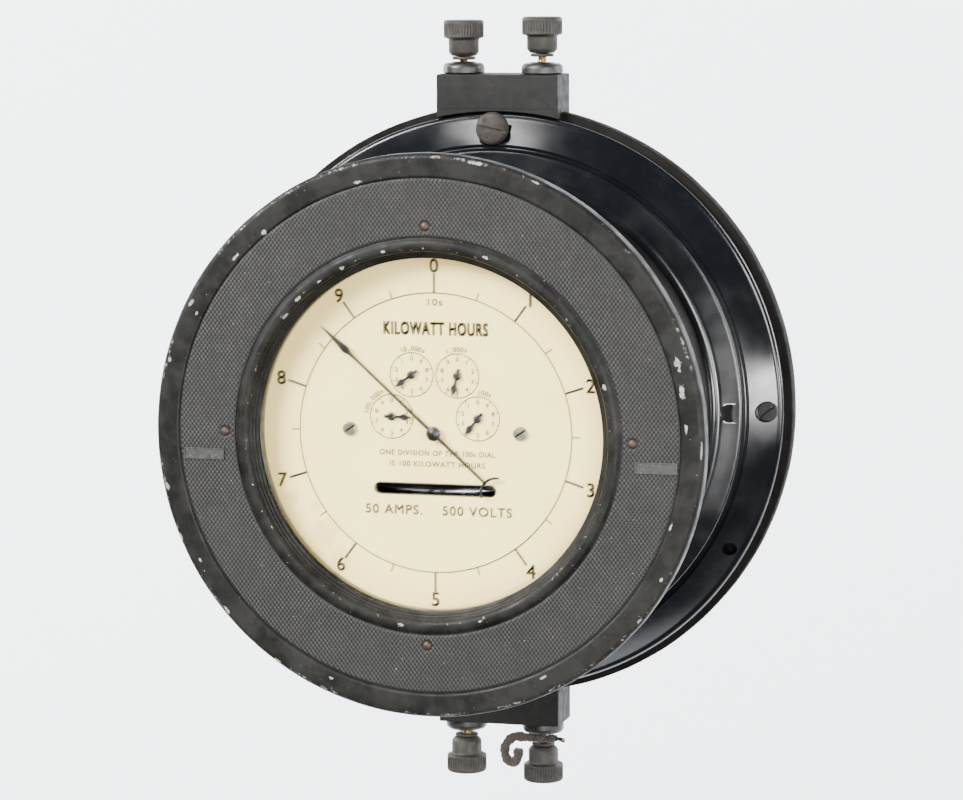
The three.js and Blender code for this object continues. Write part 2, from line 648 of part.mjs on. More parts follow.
// The rolled tube of the cover with its seat ring, which stands on the fillet of the skirt.
function coverDrum() {
  const drum = turned([
    [drumRadius, filletFace],
    [drumRadius, drumFront],
    [seatInner, drumFront],
    [seatInner, drumFront + SHEET],
    [drumInner, drumFront + SHEET],
    [drumInner, filletFace],
  ]);
  const pinHoles = PIN_ANGLES.map((degrees) => {
    const { x, z } = onCircle(pinCircle, degrees);
    return rod(PIN_RADIUS + CLEARANCE, x, z, drumFront - OVERCUT, drumFront + SHEET + OVERCUT, 8);
  });
  return cut(drum, ...pinHoles);
}

// The pressed skirt: fillet, flat shoulder, riser and sloping flange down to its rolled rim.
function coverSkirt() {
  const fillet = arc(drumRadius + DRUM_FILLET, filletFace, DRUM_FILLET, 90, 180, 3);
  const innerFillet = arc(drumRadius + DRUM_FILLET, filletFace, DRUM_FILLET + SHEET, 180, 90, 3);
  const top = filletFace + CLEARANCE;
  const rim = arc(flangeRadius - FLANGE_ROUND, flangeFace + FLANGE_ROUND, FLANGE_ROUND, 0, -80, 3);
  const skirt = turned([
    [flangeRadius - FLANGE_CHAMFER, flangeBack],
    [flangeRadius, flangeBack - FLANGE_CHAMFER],
    ...rim,
    [flangeInner, flangeInnerFace],
    [shoulderRadius, shoulderFace],
    ...fillet.slice(0, -1),
    [drumRadius, top],
    [drumInner, top],
    ...innerFillet.slice(1),
    [shoulderRadius - SHEET / 2, shoulderFace + SHEET],
    [flangeInner + FLANGE_FOOT_LAP, flangeBack],
  ]);
  const holes = [...CLAMP_ANGLES, EMPTY_HOLE_ANGLE].map((degrees) => {
    const { x, z } = onCircle(clampCircle, degrees);
    return rod(CLAMP_SHANK_RADIUS + CLEARANCE, x, z, shoulderFace, flangeBack + OVERCUT);
  });
  const spotFaces = CLAMP_ANGLES.map((degrees) => {
    const { x, z } = onCircle(clampCircle, degrees);
    return rod(CLAMP_BOSS_RADIUS + CLEARANCE, x, z, shoulderFace, clampSpotFace);
  });
  const flangeBore = FLUSH_FLANGE_SCREW_RADIUS + CLEARANCE;
  const shoulderBore = FLUSH_SHOULDER_SCREW_RADIUS + CLEARANCE;
  return cut(
    skirt,
    ...holes,
    ...spotFaces,
    rod(flangeBore, clampCircle, 0, shoulderFace, flangeBack + OVERCUT),
    rod(shoulderBore, shoulderScrewX, 0, shoulderFace - OVERCUT, flangeBack),
  );
}

// A slotted screw along Y: its face, the rounding of the head, then [radius, end] of each step.
function slottedScrew(face, dome, steps, slotDegrees) {
  const headRadius = steps[0][0];
  const profile = [
    [0, face],
    [headRadius - dome, face],
    [headRadius, face + dome],
  ];
  steps.forEach(([radius, end], i) => {
    if (i > 0) profile.push([radius, steps[i - 1][1]]);
    profile.push([radius, end]);
  });
  profile.push([0, steps.at(-1)[1]]);
  const half = SCREW_SLOT_WIDTH / 2;
  const reach = headRadius + OVERCUT;
  const slot = box(-reach, reach, face - OVERCUT, face + SCREW_SLOT_DEPTH, -half, half);
  return cut(turned(profile, 12), slot.rotateY(THREE.MathUtils.degToRad(-slotDegrees)));
}

function frontRing() {
  const field = ringFace + FIELD_DEPTH;
  const ring = turned([
    [OPENING_RADIUS, seatFace],
    [OPENING_RADIUS + BEZEL_STEP_RUN, seatFace - BEZEL_STEP_RISE],
    [bezelRadius - BEAD_ROUND, ringFace + BEAD_DROP],
    [bezelRadius + BEAD_ROUND, ringFace],
    [fieldInner - FIELD_DEPTH, ringFace],
    [fieldInner, field],
    [fieldOuter, field],
    [fieldOuter + FIELD_DEPTH, ringFace],
    ...arc(ringRadius - RIM_ROUND, ringFace + RIM_ROUND, RIM_ROUND, -90, 0, 2),
    [ringRadius, ringBack - RIM_CHAMFER],
    [ringRadius - RIM_CHAMFER, ringBack],
    [glassRadius + CLEARANCE, ringBack],
    [glassRadius + CLEARANCE, seatFace],
  ]);
  const pinHoles = PIN_ANGLES.map((degrees) => {
    const { x, z } = onCircle(pinCircle, degrees);
    return rod(PIN_RADIUS + CLEARANCE, x, z, ringFace - OVERCUT, ringBack + OVERCUT, 8);
  });
  return cut(ring, ...pinHoles);
}

function frontGlass() {
  const front = seatFace + CLEARANCE;
  return turned([
    [0, front],
    [glassRadius, front],
    [glassRadius, front + GLASS_THICKNESS],
    [0, front + GLASS_THICKNESS],
  ]);
}

function glassRetainingRing() {
  const back = retainerFront + RETAINER_DEPTH;
  return turned([
    [OPENING_RADIUS, retainerFront],
    [retainerRadius, retainerFront],
    [retainerRadius, back - RETAINER_BEVEL],
    [retainerRadius - RETAINER_BEVEL, back],
    [OPENING_RADIUS, back],
  ]);
}

function ringPin() {
  const front = ringFace + FIELD_DEPTH - PIN_PROUD;
  return turned(
    [
      [0, front],
      [PIN_RADIUS - PIN_CHAMFER, front],
      [PIN_RADIUS, front + PIN_CHAMFER],
      [PIN_RADIUS, drumFront + SHEET],
      [0, drumFront + SHEET],
    ],
    8,
  );
}

addMesh("cover_drum", coverDrum(), JAPAN, cover);
addMesh("cover_skirt", coverSkirt(), JAPAN, cover);
addMesh("front_ring", frontRing(), CAST_BLACK, cover);
addMesh("front_glass", frontGlass(), GLASS, cover);
addMesh("glass_retaining_ring", glassRetainingRing(), BLACK_ENAMEL, cover);
PIN_ANGLES.forEach((degrees, i) => {
  const pin = addMesh(`ring_pin_${i + 1}`, ringPin(), COPPER, cover);
  const { x, z } = onCircle(pinCircle, degrees);
  pin.position.set(x, 0, z);
});

["clamp_screw_top", "clamp_screw_lower_left"].forEach((name, i) => {
  const steps = [
    [CLAMP_HEAD_RADIUS, clampHeadBack],
    [CLAMP_BOSS_RADIUS, clampSpotFace - CLEARANCE],
    [CLAMP_SHANK_RADIUS, clampTip],
  ];
  const screw = slottedScrew(clampHeadBack - CLAMP_HEAD_HEIGHT, CLAMP_HEAD_DOME, steps, CLAMP_SLOT_ANGLE);
  const { x, z } = onCircle(clampCircle, CLAMP_ANGLES[i]);
  addMesh(name, screw, RUSTY_STEEL, cover).position.set(x, 0, z);
});

const flangeScrewSteps = [
  [FLUSH_FLANGE_SCREW_RADIUS, flangeBack],
  [CLAMP_SHANK_RADIUS, clampTip],
];
const flangeScrew = slottedScrew(clampSpotFace, FLUSH_EDGE, flangeScrewSteps, FLANGE_SCREW_SLOT_ANGLE);
addMesh("flange_screw", flangeScrew, CAST_BLACK, cover).position.x = clampCircle;
const shoulderScrewSteps = [
  [FLUSH_SHOULDER_SCREW_RADIUS, shoulderFace + SHEET],
  [SHOULDER_SCREW_SHANK_RADIUS, shoulderFace + SHEET + SHOULDER_SCREW_REACH],
];
const shoulderScrew = slottedScrew(shoulderFace, FLUSH_EDGE, shoulderScrewSteps, SHOULDER_SCREW_SLOT_ANGLE);
addMesh("shoulder_screw", shoulderScrew, CAST_BLACK, cover).position.x = shoulderScrewX;

// ---------------------------------------------------------------- frame and magnets

function mainFrame() {
  const halfArm = FRAME_ARM_WIDTH / 2;
  const halfWeb = FRAME_WIDTH / 2;
  const webFront = frameBack - FRAME_BAR;
  const bearingFront = spindleY - BEARING_LAND;
  const postMargin = FRAME_POST_SHOULDER + BRIDGE_MARGIN;
  const bridgeHalf = Math.max(...framePosts.map(({ x }) => Math.abs(x))) + postMargin;
  const bridgeTop = Math.max(upperArm + FRAME_BAR, framePosts[1].z + postMargin);
  const posts = framePosts.flatMap(({ x, z }) => [
    rod(FRAME_POST_SHOULDER, x, z, registerPlateBack + CLEARANCE, bridgeFront + LAP),
    rod(FRAME_POST_RADIUS, x, z, frontPlateBack + CLEARANCE, bridgeFront + LAP),
    rod(FRAME_POST_SPIGOT, x, z, frontPlateFront, bridgeFront + LAP),
  ]);
  const frame = join(
    box(-halfWeb, halfWeb, webFront, frameBack, lowerArm - FRAME_BAR, upperArm + FRAME_BAR),
    box(-halfArm, halfArm, bridgeFront, webFront + LAP, upperArm, upperArm + FRAME_BAR),
    box(-halfArm, halfArm, bearingFront, webFront + LAP, lowerArm - FRAME_BAR, lowerArm),
    box(-bridgeHalf, bridgeHalf, bridgeFront, bridgeBack, registerFoot, bridgeTop),
    ...posts,
  );
  const arborHoles = [centre, wormWheelArbor].map(({ x, z }) =>
    rod(ARBOR_RADIUS + CLEARANCE, x, z, bridgeFront - OVERCUT, bridgeBack + OVERCUT, 10),
  );
  const armHoles = [upperArm, lowerArm - FRAME_BAR].map((foot) =>
    upright(BEARING_RADIUS + CLEARANCE, 0, spindleY, foot - OVERCUT, foot + FRAME_BAR + OVERCUT),
  );
  return cut(frame, ...arborHoles, ...armHoles);
}

// A screwed bearing with a blind bore that the spindle end turns in, open at the mouth.
function bearing(mouth, back) {
  const inward = Math.sign(back - mouth);
  return turnedUpright(
    [
      [pivotBore, mouth],
      [BEARING_RADIUS, mouth],
      [BEARING_RADIUS, back],
      [0, back],
      [0, mouth + inward * PIVOT_DEPTH],
      [pivotBore, mouth + inward * PIVOT_DEPTH],
    ],
    12,
  );
}

function voltageCore() {
  const half = CORE_WIDTH / 2;
  const middle = CORE_MIDDLE_LIMB / 2;
  const yokeFoot = voltageCoreTop - CORE_YOKE;
  const shape = outline([
    [-half, voltageCoreFoot],
    [-half + CORE_LIMB, voltageCoreFoot],
    [-half + CORE_LIMB, yokeFoot],
    [-middle, yokeFoot],
    [-middle, voltageCoreFoot],
    [middle, voltageCoreFoot],
    [middle, yokeFoot],
    [half - CORE_LIMB, yokeFoot],
    [half - CORE_LIMB, voltageCoreFoot],
    [half, voltageCoreFoot],
    [half, voltageCoreTop],
    [-half, voltageCoreTop],
  ]);
  return plate(shape, CORE_THICKNESS, coreY + CORE_THICKNESS / 2);
}

function seriesCore() {
  const outer = SERIES_LIMB_CENTRE + CORE_LIMB / 2;
  const inner = SERIES_LIMB_CENTRE - CORE_LIMB / 2;
  const shape = outline([
    [-outer, seriesCoreFoot],
    [outer, seriesCoreFoot],
    [outer, seriesCoreTop],
    [inner, seriesCoreTop],
    [inner, seriesCoreFoot + CORE_YOKE],
    [-inner, seriesCoreFoot + CORE_YOKE],
    [-inner, seriesCoreTop],
    [-outer, seriesCoreTop],
  ]);
  return plate(shape, CORE_THICKNESS, coreY + CORE_THICKNESS / 2);
}

// A wound coil round an upright limb, as a rounded block with a square hole.
function coil(x, limbHalf, winding, z0, z1) {
  const innerX = limbHalf + CLEARANCE;
  const innerY = CORE_THICKNESS / 2 + CLEARANCE;
  const corner = Math.min(winding, innerX);
  const halfX = innerX + winding;
  const halfY = innerY + winding;
  const body = new THREE.Shape();
  body.moveTo(-halfX + corner, -halfY);
  body.lineTo(halfX - corner, -halfY);
  body.absarc(halfX - corner, -halfY + corner, corner, -Math.PI / 2, 0);
  body.absarc(halfX - corner, halfY - corner, corner, 0, Math.PI / 2);
  body.absarc(-halfX + corner, halfY - corner, corner, Math.PI / 2, Math.PI);
  body.absarc(-halfX + corner, -halfY + corner, corner, Math.PI, Math.PI * 1.5);
  const hole = new THREE.Path();
  hole.moveTo(-innerX, -innerY);
  hole.lineTo(-innerX, innerY);
  hole.lineTo(innerX, innerY);
  hole.lineTo(innerX, -innerY);
  hole.closePath();
  body.holes.push(hole);
  const options = { depth: z1 - z0, bevelEnabled: false, curveSegments: 4 };
  return new THREE.ExtrudeGeometry(body, options).translate(x, coreY, z0);
}

// A C-shaped permanent magnet whose poles face each other across the edge of the disc.
function dragMagnet() {
  const inner = DISC_RADIUS - MAGNET_OVER_DISC;
  const outer = inner + MAGNET_REACH;
  const half = MAGNET_HEIGHT / 2;
  const gap = DISC_THICKNESS / 2 + DISC_AIR_GAP;
  const shape = outline([
    [outer, -half],
    [outer, half],
    [inner, half],
    [inner, gap],
    [inner + MAGNET_LIMB, gap],
    [inner + MAGNET_LIMB, half - MAGNET_LIMB],
    [outer - MAGNET_LIMB, half - MAGNET_LIMB],
    [outer - MAGNET_LIMB, -half + MAGNET_LIMB],
    [inner + MAGNET_LIMB, -half + MAGNET_LIMB],
    [inner + MAGNET_LIMB, -gap],
    [inner, -gap],
    [inner, -half],
  ]);
  return plate(shape, MAGNET_THICKNESS, spindleY + MAGNET_THICKNESS / 2).translate(0, 0, DISC_HEIGHT);
}

addMesh("main_frame", mainFrame(), CAST_BLACK);
const upperBearing = bearing(upperBearingMouth, upperArm + FRAME_BAR);
addMesh("upper_bearing", upperBearing, BRASS).position.y = spindleY;
const lowerBearing = bearing(lowerBearingMouth, lowerArm - FRAME_BAR);
addMesh("lower_jewel_bearing", lowerBearing, BRASS).position.y = spindleY;
addMesh("voltage_core", voltageCore(), LAMINATIONS);
const voltageCoilFoot = voltageCoreFoot + VOLTAGE_COIL_LIFT;
const voltageCoilTop = voltageCoreTop - CORE_YOKE - COIL_END_GAP;
const voltageCoil = coil(0, CORE_MIDDLE_LIMB / 2, VOLTAGE_WINDING, voltageCoilFoot, voltageCoilTop);
addMesh("voltage_coil", voltageCoil, COIL_COTTON);
addMesh("series_core", seriesCore(), LAMINATIONS);
const currentCoilFoot = seriesCoreFoot + CORE_YOKE + COIL_END_GAP;
const currentCoilTop = seriesCoreTop - CURRENT_COIL_DROP;
[
  { name: "current_coil_left", side: -1 },
  { name: "current_coil_right", side: 1 },
].forEach(({ name, side }) => {
  const x = side * SERIES_LIMB_CENTRE;
  addMesh(name, coil(x, CORE_LIMB / 2, CURRENT_WINDING, currentCoilFoot, currentCoilTop), COIL_COTTON);
});
addMesh("drag_magnet", dragMagnet(), MAGNET_STEEL);

// ---------------------------------------------------------------- rotor

const rotor = new THREE.Group();
rotor.position.y = spindleY;
meter.add(rotor);

function rotorDisc() {
  const bore = SPINDLE_RADIUS + CLEARANCE;
  return turnedUpright([
    [bore, DISC_HEIGHT - DISC_THICKNESS / 2],
    [DISC_RADIUS, DISC_HEIGHT - DISC_THICKNESS / 2],
    [DISC_RADIUS, DISC_HEIGHT + DISC_THICKNESS / 2],
    [bore, DISC_HEIGHT + DISC_THICKNESS / 2],
  ]);
}

class Helix extends THREE.Curve {
  constructor(radius, pitch, turns) {
    super();
    Object.assign(this, { radius, pitch, turns });
  }

  getPoint(t, target = new THREE.Vector3()) {
    const angle = t * this.turns * Math.PI * 2;
    const z = (t - 0.5) * this.turns * this.pitch;
    return target.set(this.radius * Math.cos(angle), this.radius * Math.sin(angle), z);
  }
}

function rotorSpindle() {
  const nutFoot = DISC_HEIGHT + DISC_THICKNESS / 2 + CLEARANCE;
  const hubTop = DISC_HEIGHT - DISC_THICKNESS / 2 - CLEARANCE;
  const wormCore = WORM_PITCH_RADIUS - WORM_THREAD_RADIUS;
  const wormTop = wormWheelZ + WORM_LENGTH / 2;
  const wormFoot = wormWheelZ - WORM_LENGTH / 2;
  const body = turnedUpright(
    [
      [0, spindleFoot],
      [SPINDLE_RADIUS, spindleFoot],
      [SPINDLE_RADIUS, hubTop - DISC_HUB_HEIGHT],
      [DISC_HUB_RADIUS, hubTop - DISC_HUB_HEIGHT],
      [DISC_HUB_RADIUS, hubTop],
      [SPINDLE_RADIUS, hubTop],
      [SPINDLE_RADIUS, nutFoot],
      [DISC_NUT_RADIUS, nutFoot],
      [DISC_NUT_RADIUS, nutFoot + DISC_NUT_HEIGHT],
      [SPINDLE_RADIUS, nutFoot + DISC_NUT_HEIGHT],
      [SPINDLE_RADIUS, wormFoot],
      [wormCore, wormFoot],
      [wormCore, wormTop],
      [SPINDLE_RADIUS, wormTop],
      [SPINDLE_RADIUS, spindleTop],
      [0, spindleTop],
    ],
    12,
  );
  const pitch = (2 * Math.PI * WORM_WHEEL_PITCH_RADIUS) / WORM_WHEEL_TEETH;
  const turns = (WORM_LENGTH - WORM_RUNOUT) / pitch;
  const thread = new THREE.Shape();
  thread.absarc(0, 0, WORM_THREAD_RADIUS, 0, Math.PI * 2);
  const helix = new Helix(WORM_PITCH_RADIUS, pitch, turns);
  const ridge = new THREE.ExtrudeGeometry(thread, {
    steps: Math.round(turns * 10),
    extrudePath: helix,
    curveSegments: 2,
  });
  // The ridge starts on the side of the wheel and is raised to pass between two of its teeth.
  ridge.rotateZ(Math.PI).translate(0, 0, wormWheelZ + wormShift(pitch, turns));
  return join(body, ridge);
}

// Shift that puts a gap between two turns of the ridge level with the axis of the wheel.
function wormShift(pitch, turns) {
  const startBelow = (turns * pitch) / 2;
  return (startBelow % pitch) - pitch / 2;
}

addMesh("rotor_disc", rotorDisc(), ALUMINIUM, rotor);
addMesh("rotor_spindle", rotorSpindle(), STEEL, rotor);

// ---------------------------------------------------------------- register

const register = new THREE.Group();
meter.add(register);

// Pointed teeth with straight flanks between a root and a tip circle; one points along `phase` degrees.
function gearShape(teeth, rootRadius, tipRadius, phase) {
  const pitch = 360 / teeth;
  const points = [];
  for (let i = 0; i < teeth; i += 1) {
    const tooth = onCircle(tipRadius, phase + i * pitch);
    const gap = onCircle(rootRadius, phase + (i + 0.5) * pitch);
    points.push([tooth.x, tooth.z], [gap.x, gap.z]);
  }
  return outline(points);
}

function wheelTeeth(phase) {
  const root = wheelPitch - TOOTH_HEIGHT - TOOTH_CLEARANCE;
  return gearShape(WHEEL_TEETH, root, wheelPitch + TOOTH_HEIGHT, phase);
}

function pinionTeeth(phase) {
  const root = pinionPitch - TOOTH_HEIGHT - TOOTH_CLEARANCE;
  return gearShape(PINION_LEAVES, root, pinionPitch + TOOTH_HEIGHT, phase);
}

function directionTo(from, to) {
  return THREE.MathUtils.radToDeg(Math.atan2(to.z - from.z, to.x - from.x));
}

// A pinion leaves a gap towards the wheel it drives, and the wheel points a tooth at the pinion.
function pinionPhase(from, to) {
  return directionTo(from, to) + 180 / PINION_LEAVES;
}

function wormWheel() {
  const back = spindleY + WHEEL_THICKNESS / 2;
  const root = WORM_WHEEL_PITCH_RADIUS - WORM_THREAD_RADIUS - TOOTH_CLEARANCE;
  const tip = WORM_WHEEL_PITCH_RADIUS + WORM_THREAD_RADIUS * 0.7;
  const teeth = gearShape(WORM_WHEEL_TEETH, root, tip, 0);
  const pinion = pinionTeeth(pinionPhase(wormWheelArbor, centre));
  const pinionBack = centreWheelFront + WHEEL_THICKNESS + PINION_LAP;
  const hubFront = back - WHEEL_THICKNESS - WORM_WHEEL_HUB_PROUD;
  return join(
    plate(teeth, WHEEL_THICKNESS, back),
    plate(pinion, PINION_LENGTH, pinionBack),
    rod(ARBOR_RADIUS, 0, 0, pinionBack - PINION_LENGTH - ARBOR_PROUD, back + LAP, 10),
    rod(WHEEL_HUB_RADIUS, 0, 0, hubFront, back + LAP, 10),
  );
}

function centreWheel() {
  const pinion = pinionTeeth(pinionPhase(centre, subArbors[0]));
  const teeth = wheelTeeth(directionTo(centre, wormWheelArbor));
  const tip = mainHandBack - HAND_THICKNESS + HUB_WEB + ARBOR_END_GAP;
  return join(
    plate(teeth, WHEEL_THICKNESS, centreWheelFront + WHEEL_THICKNESS),
    plate(pinion, PINION_LENGTH, firstWheelBack + WHEEL_THICKNESS + PINION_LAP),
    rod(ARBOR_RADIUS, 0, 0, tip, bridgeBack + LAP, 10),
  );
}

function subWheel(index) {
  const here = subArbors[index];
  const before = index === 0 ? centre : subArbors[index - 1];
  const after = subArbors[index + 1];
  const wheelBack = firstWheelBack + index * PLANE_PITCH + WHEEL_THICKNESS;
  const hubFront = wheelBack - WHEEL_THICKNESS - WHEEL_HUB_PROUD;
  const tip = handBack - HAND_THICKNESS + HUB_WEB + ARBOR_END_GAP;
  const pieces = [
    plate(wheelTeeth(directionTo(here, before)), WHEEL_THICKNESS, wheelBack),
    rod(ARBOR_RADIUS, 0, 0, tip, registerPlateBack - ARBOR_INSET, 10),
    rod(WHEEL_HUB_RADIUS, 0, 0, hubFront, wheelBack + WHEEL_HUB_PROUD, 10),
  ];
  if (after) {
    const pinion = pinionTeeth(pinionPhase(here, after));
    pieces.push(plate(pinion, PINION_LENGTH, wheelBack + PLANE_PITCH + PINION_LAP));
  }
  return join(...pieces);
}

// One of the two brass plates between which the arbors turn; `postHole` fits the posts of the frame.
function registerPlate(back, postHole) {
  const front = back - REGISTER_PLATE_THICKNESS;
  const wide = registerHalfWidth;
  const shape = outline([
    [-wide, registerFoot + REGISTER_CORNER_RISE],
    [-wide + REGISTER_CORNER_DROP, registerFoot],
    [wide - REGISTER_CORNER_DROP, registerFoot],
    [wide, registerFoot + REGISTER_CORNER_RISE],
    [wide, REGISTER_SHOULDER_HEIGHT],
    [wide - REGISTER_SHOULDER_INSET, registerTop],
    [-wide + REGISTER_SHOULDER_INSET, registerTop],
    [-wide, REGISTER_SHOULDER_HEIGHT],
  ]);
  const arborHoles = [centre, ...subArbors].map(({ x, z }) =>
    rod(ARBOR_RADIUS + CLEARANCE, x, z, front - OVERCUT, back + OVERCUT, 10),
  );
  const postHoles = framePosts.map(({ x, z }) =>
    rod(postHole + CLEARANCE, x, z, front - OVERCUT, back + OVERCUT),
  );
  return cut(plate(shape, REGISTER_PLATE_THICKNESS, back), ...arborHoles, ...postHoles);
}

// Holes for the two dial screws through a plate between two depths.
function dialScrewHoles(front, back) {
  return dialScrews.map(({ x, z }) =>
    rod(DIAL_SCREW_SHANK + CLEARANCE, x, z, front - OVERCUT, back + OVERCUT),
  );
}

function registerFrontPlate() {
  const body = registerPlate(frontPlateBack, FRAME_POST_SPIGOT);
  return cut(body, ...dialScrewHoles(frontPlateFront, frontPlateBack));
}

function dialPlate() {
  const radius = OPENING_RADIUS + DIAL_EDGE_LAP;
  const disc = turned([
    [0, dialFace],
    [radius, dialFace],
    [radius, dialBack],
    [0, dialBack],
  ]);
  const slot = new THREE.Shape();
  const straight = SLOT_HALF_LENGTH - SLOT_HALF_HEIGHT;
  slot.absarc(straight, SLOT_HEIGHT, SLOT_HALF_HEIGHT, -Math.PI / 2, Math.PI / 2);
  slot.absarc(-straight, SLOT_HEIGHT, SLOT_HALF_HEIGHT, Math.PI / 2, Math.PI * 1.5);
  const arborHoles = [centre, ...subArbors].map(({ x, z }) =>
    rod(ARBOR_RADIUS + CLEARANCE, x, z, dialFace - OVERCUT, dialBack + OVERCUT, 10),
  );
  const window = plate(slot, DIAL_THICKNESS + 2 * OVERCUT, dialBack + OVERCUT, 6);
  return cut(disc, window, ...arborHoles, ...dialScrewHoles(dialFace, dialBack));
}

function dialScrew() {
  const headBack = dialFace - CLEARANCE;
  const steps = [
    [DIAL_SCREW_HEAD, headBack],
    [DIAL_SCREW_SHANK, frontPlateBack],
  ];
  return slottedScrew(headBack - DIAL_SCREW_HEAD_HEIGHT, FLUSH_EDGE, steps, DIAL_SCREW_SLOT_ANGLE);
}

// The hand is drawn pointing along +X: thin rod, spade near the tip, crescent at the tail.
function mainHand() {
  const back = mainHandBack;
  const front = back - HAND_THICKNESS;
  const tip = OPENING_RADIUS - MAIN_HAND_TIP_GAP;
  const spadeWide = tip - SPADE_LENGTH;
  const half = MAIN_HAND_HALF_WIDTH;
  const spade = outline([
    [spadeWide - SPADE_SHOULDER, -half],
    [spadeWide, -SPADE_HALF_WIDTH],
    [tip, 0],
    [spadeWide, SPADE_HALF_WIDTH],
    [spadeWide - SPADE_SHOULDER, half],
  ]);
  const rodShape = outline([
    [-MAIN_HAND_TAIL, -half],
    [spadeWide, -half],
    [spadeWide, half],
    [-MAIN_HAND_TAIL, half],
  ]);
  const crescent = new THREE.Shape();
  const crescentX = -MAIN_HAND_TAIL - CRESCENT_INNER_RADIUS;
  crescent.absarc(crescentX, 0, CRESCENT_OUTER_RADIUS, -CRESCENT_OUTER_SWEEP, CRESCENT_OUTER_SWEEP);
  crescent.absarc(
    crescentX - CRESCENT_SHIFT,
    0,
    CRESCENT_INNER_RADIUS,
    CRESCENT_INNER_SWEEP,
    -CRESCENT_INNER_SWEEP,
    true,
  );
  const solid = join(
    plate(spade, HAND_THICKNESS, back),
    plate(rodShape, HAND_THICKNESS, back),
    plate(crescent, HAND_THICKNESS, back, 10),
    rod(MAIN_HUB_RADIUS, 0, 0, back + MAIN_HUB_PROUD, front - MAIN_HUB_PROUD, 20),
  );
  const bore = rod(ARBOR_RADIUS + CLEARANCE, 0, 0, back + OVERCUT, front + HUB_WEB, 10);
  return cut(solid, bore);
}

function subHand() {
  const back = handBack;
  const front = back - HAND_THICKNESS;
  const blade = outline([
    [-SUB_HAND_TAIL, -SUB_HAND_TAIL_HALF_WIDTH],
    [SUB_HAND_NECK, -SUB_HAND_NECK_HALF_WIDTH],
    [SUB_HAND_SPADE, -SUB_HAND_SPADE_HALF_WIDTH],
    [SUB_HAND_LENGTH, 0],
    [SUB_HAND_SPADE, SUB_HAND_SPADE_HALF_WIDTH],
    [SUB_HAND_NECK, SUB_HAND_NECK_HALF_WIDTH],
    [-SUB_HAND_TAIL, SUB_HAND_TAIL_HALF_WIDTH],
  ]);
  const hub = rod(SUB_HUB_RADIUS, 0, 0, back, front - SUB_HUB_PROUD, 14);
  const bore = rod(ARBOR_RADIUS + CLEARANCE, 0, 0, back + OVERCUT, front + HUB_WEB, 10);
  return cut(join(plate(blade, HAND_THICKNESS, back), hub), bore);
}

// Turns a piece drawn along +X to an angle seen from the front, and stands it on its arbor.
function onArbor(mesh, arbor, degrees = 0) {
  mesh.position.set(arbor.x, 0, arbor.z);
  mesh.rotation.y = THREE.MathUtils.degToRad(-degrees);
}

addMesh("dial_plate", dialPlate(), CREAM_ENAMEL, register);
addMesh("register_front_plate", registerFrontPlate(), BRASS, register);
addMesh("register_back_plate", registerPlate(registerPlateBack, FRAME_POST_RADIUS), BRASS, register);
dialScrews.forEach((place, i) => {
  onArbor(addMesh(`dial_screw_${i === 0 ? "left" : "right"}`, dialScrew(), NICKEL, register), place);
});
onArbor(addMesh("worm_wheel_arbor", wormWheel(), BRASS, register), wormWheelArbor);
onArbor(addMesh("centre_wheel_arbor", centreWheel(), BRASS, register), centre);
onArbor(addMesh("main_hand", mainHand(), BLACK_ENAMEL, register), centre, MAIN_HAND_ANGLE);
subArbors.forEach((arbor, i) => {
  onArbor(addMesh(`wheel_arbor_${arbor.name}`, subWheel(i), BRASS, register), arbor);
  onArbor(addMesh(`hand_${arbor.name}`, subHand(), BLACK_ENAMEL, register), arbor, arbor.hand);
});

export default meter;
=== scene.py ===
"""Detailed surfaces and finishes for a round, wall-hung dial electric meter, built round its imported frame.

Places are in millimetres on the meter's own axes unless a name says otherwise: the wall is y = 0, the
dial faces -Y, and the middle of the dial is on x = z = 0. Meshes are stored in metres.
"""
from collections import namedtuple

import bmesh
import bpy
import numpy as np
from bpy.props import FloatProperty, FloatVectorProperty, IntProperty, PointerProperty
from mathutils import Matrix, Vector


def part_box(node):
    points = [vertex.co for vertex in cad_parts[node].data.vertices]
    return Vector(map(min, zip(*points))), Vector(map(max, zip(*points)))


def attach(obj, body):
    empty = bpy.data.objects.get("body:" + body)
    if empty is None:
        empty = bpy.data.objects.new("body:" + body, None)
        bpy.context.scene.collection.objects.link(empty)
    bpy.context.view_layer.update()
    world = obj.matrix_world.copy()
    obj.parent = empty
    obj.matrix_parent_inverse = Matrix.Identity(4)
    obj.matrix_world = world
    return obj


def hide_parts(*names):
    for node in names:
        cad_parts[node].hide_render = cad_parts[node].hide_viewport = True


bl_info = {
    "name": "Dial Electric Meter",
    "version": (1, 0, 0),
    "blender": (4, 5, 0),
    "location": "3D View > Sidebar > Meter",
    "description": "Builds the detailed pieces of a dial electric meter round its frame",
    "category": "Object",
}

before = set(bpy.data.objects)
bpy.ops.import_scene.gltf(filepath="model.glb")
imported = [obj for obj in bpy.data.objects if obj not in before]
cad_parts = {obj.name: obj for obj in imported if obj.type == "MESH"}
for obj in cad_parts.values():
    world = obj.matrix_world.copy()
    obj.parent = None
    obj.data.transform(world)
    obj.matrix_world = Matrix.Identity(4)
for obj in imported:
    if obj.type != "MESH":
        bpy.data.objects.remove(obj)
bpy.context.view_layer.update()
MM = 0.001
Corner = namedtuple("Corner", "x y z")


def box(node):
    """The lowest and highest corners of a frame node, in millimetres."""
    return [Corner(*(value / MM for value in corner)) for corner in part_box(node)]


# ---------------------------------------------------------------- places shared by several pieces

# Most come from the frame. The others repeat sizes of the part's own source.

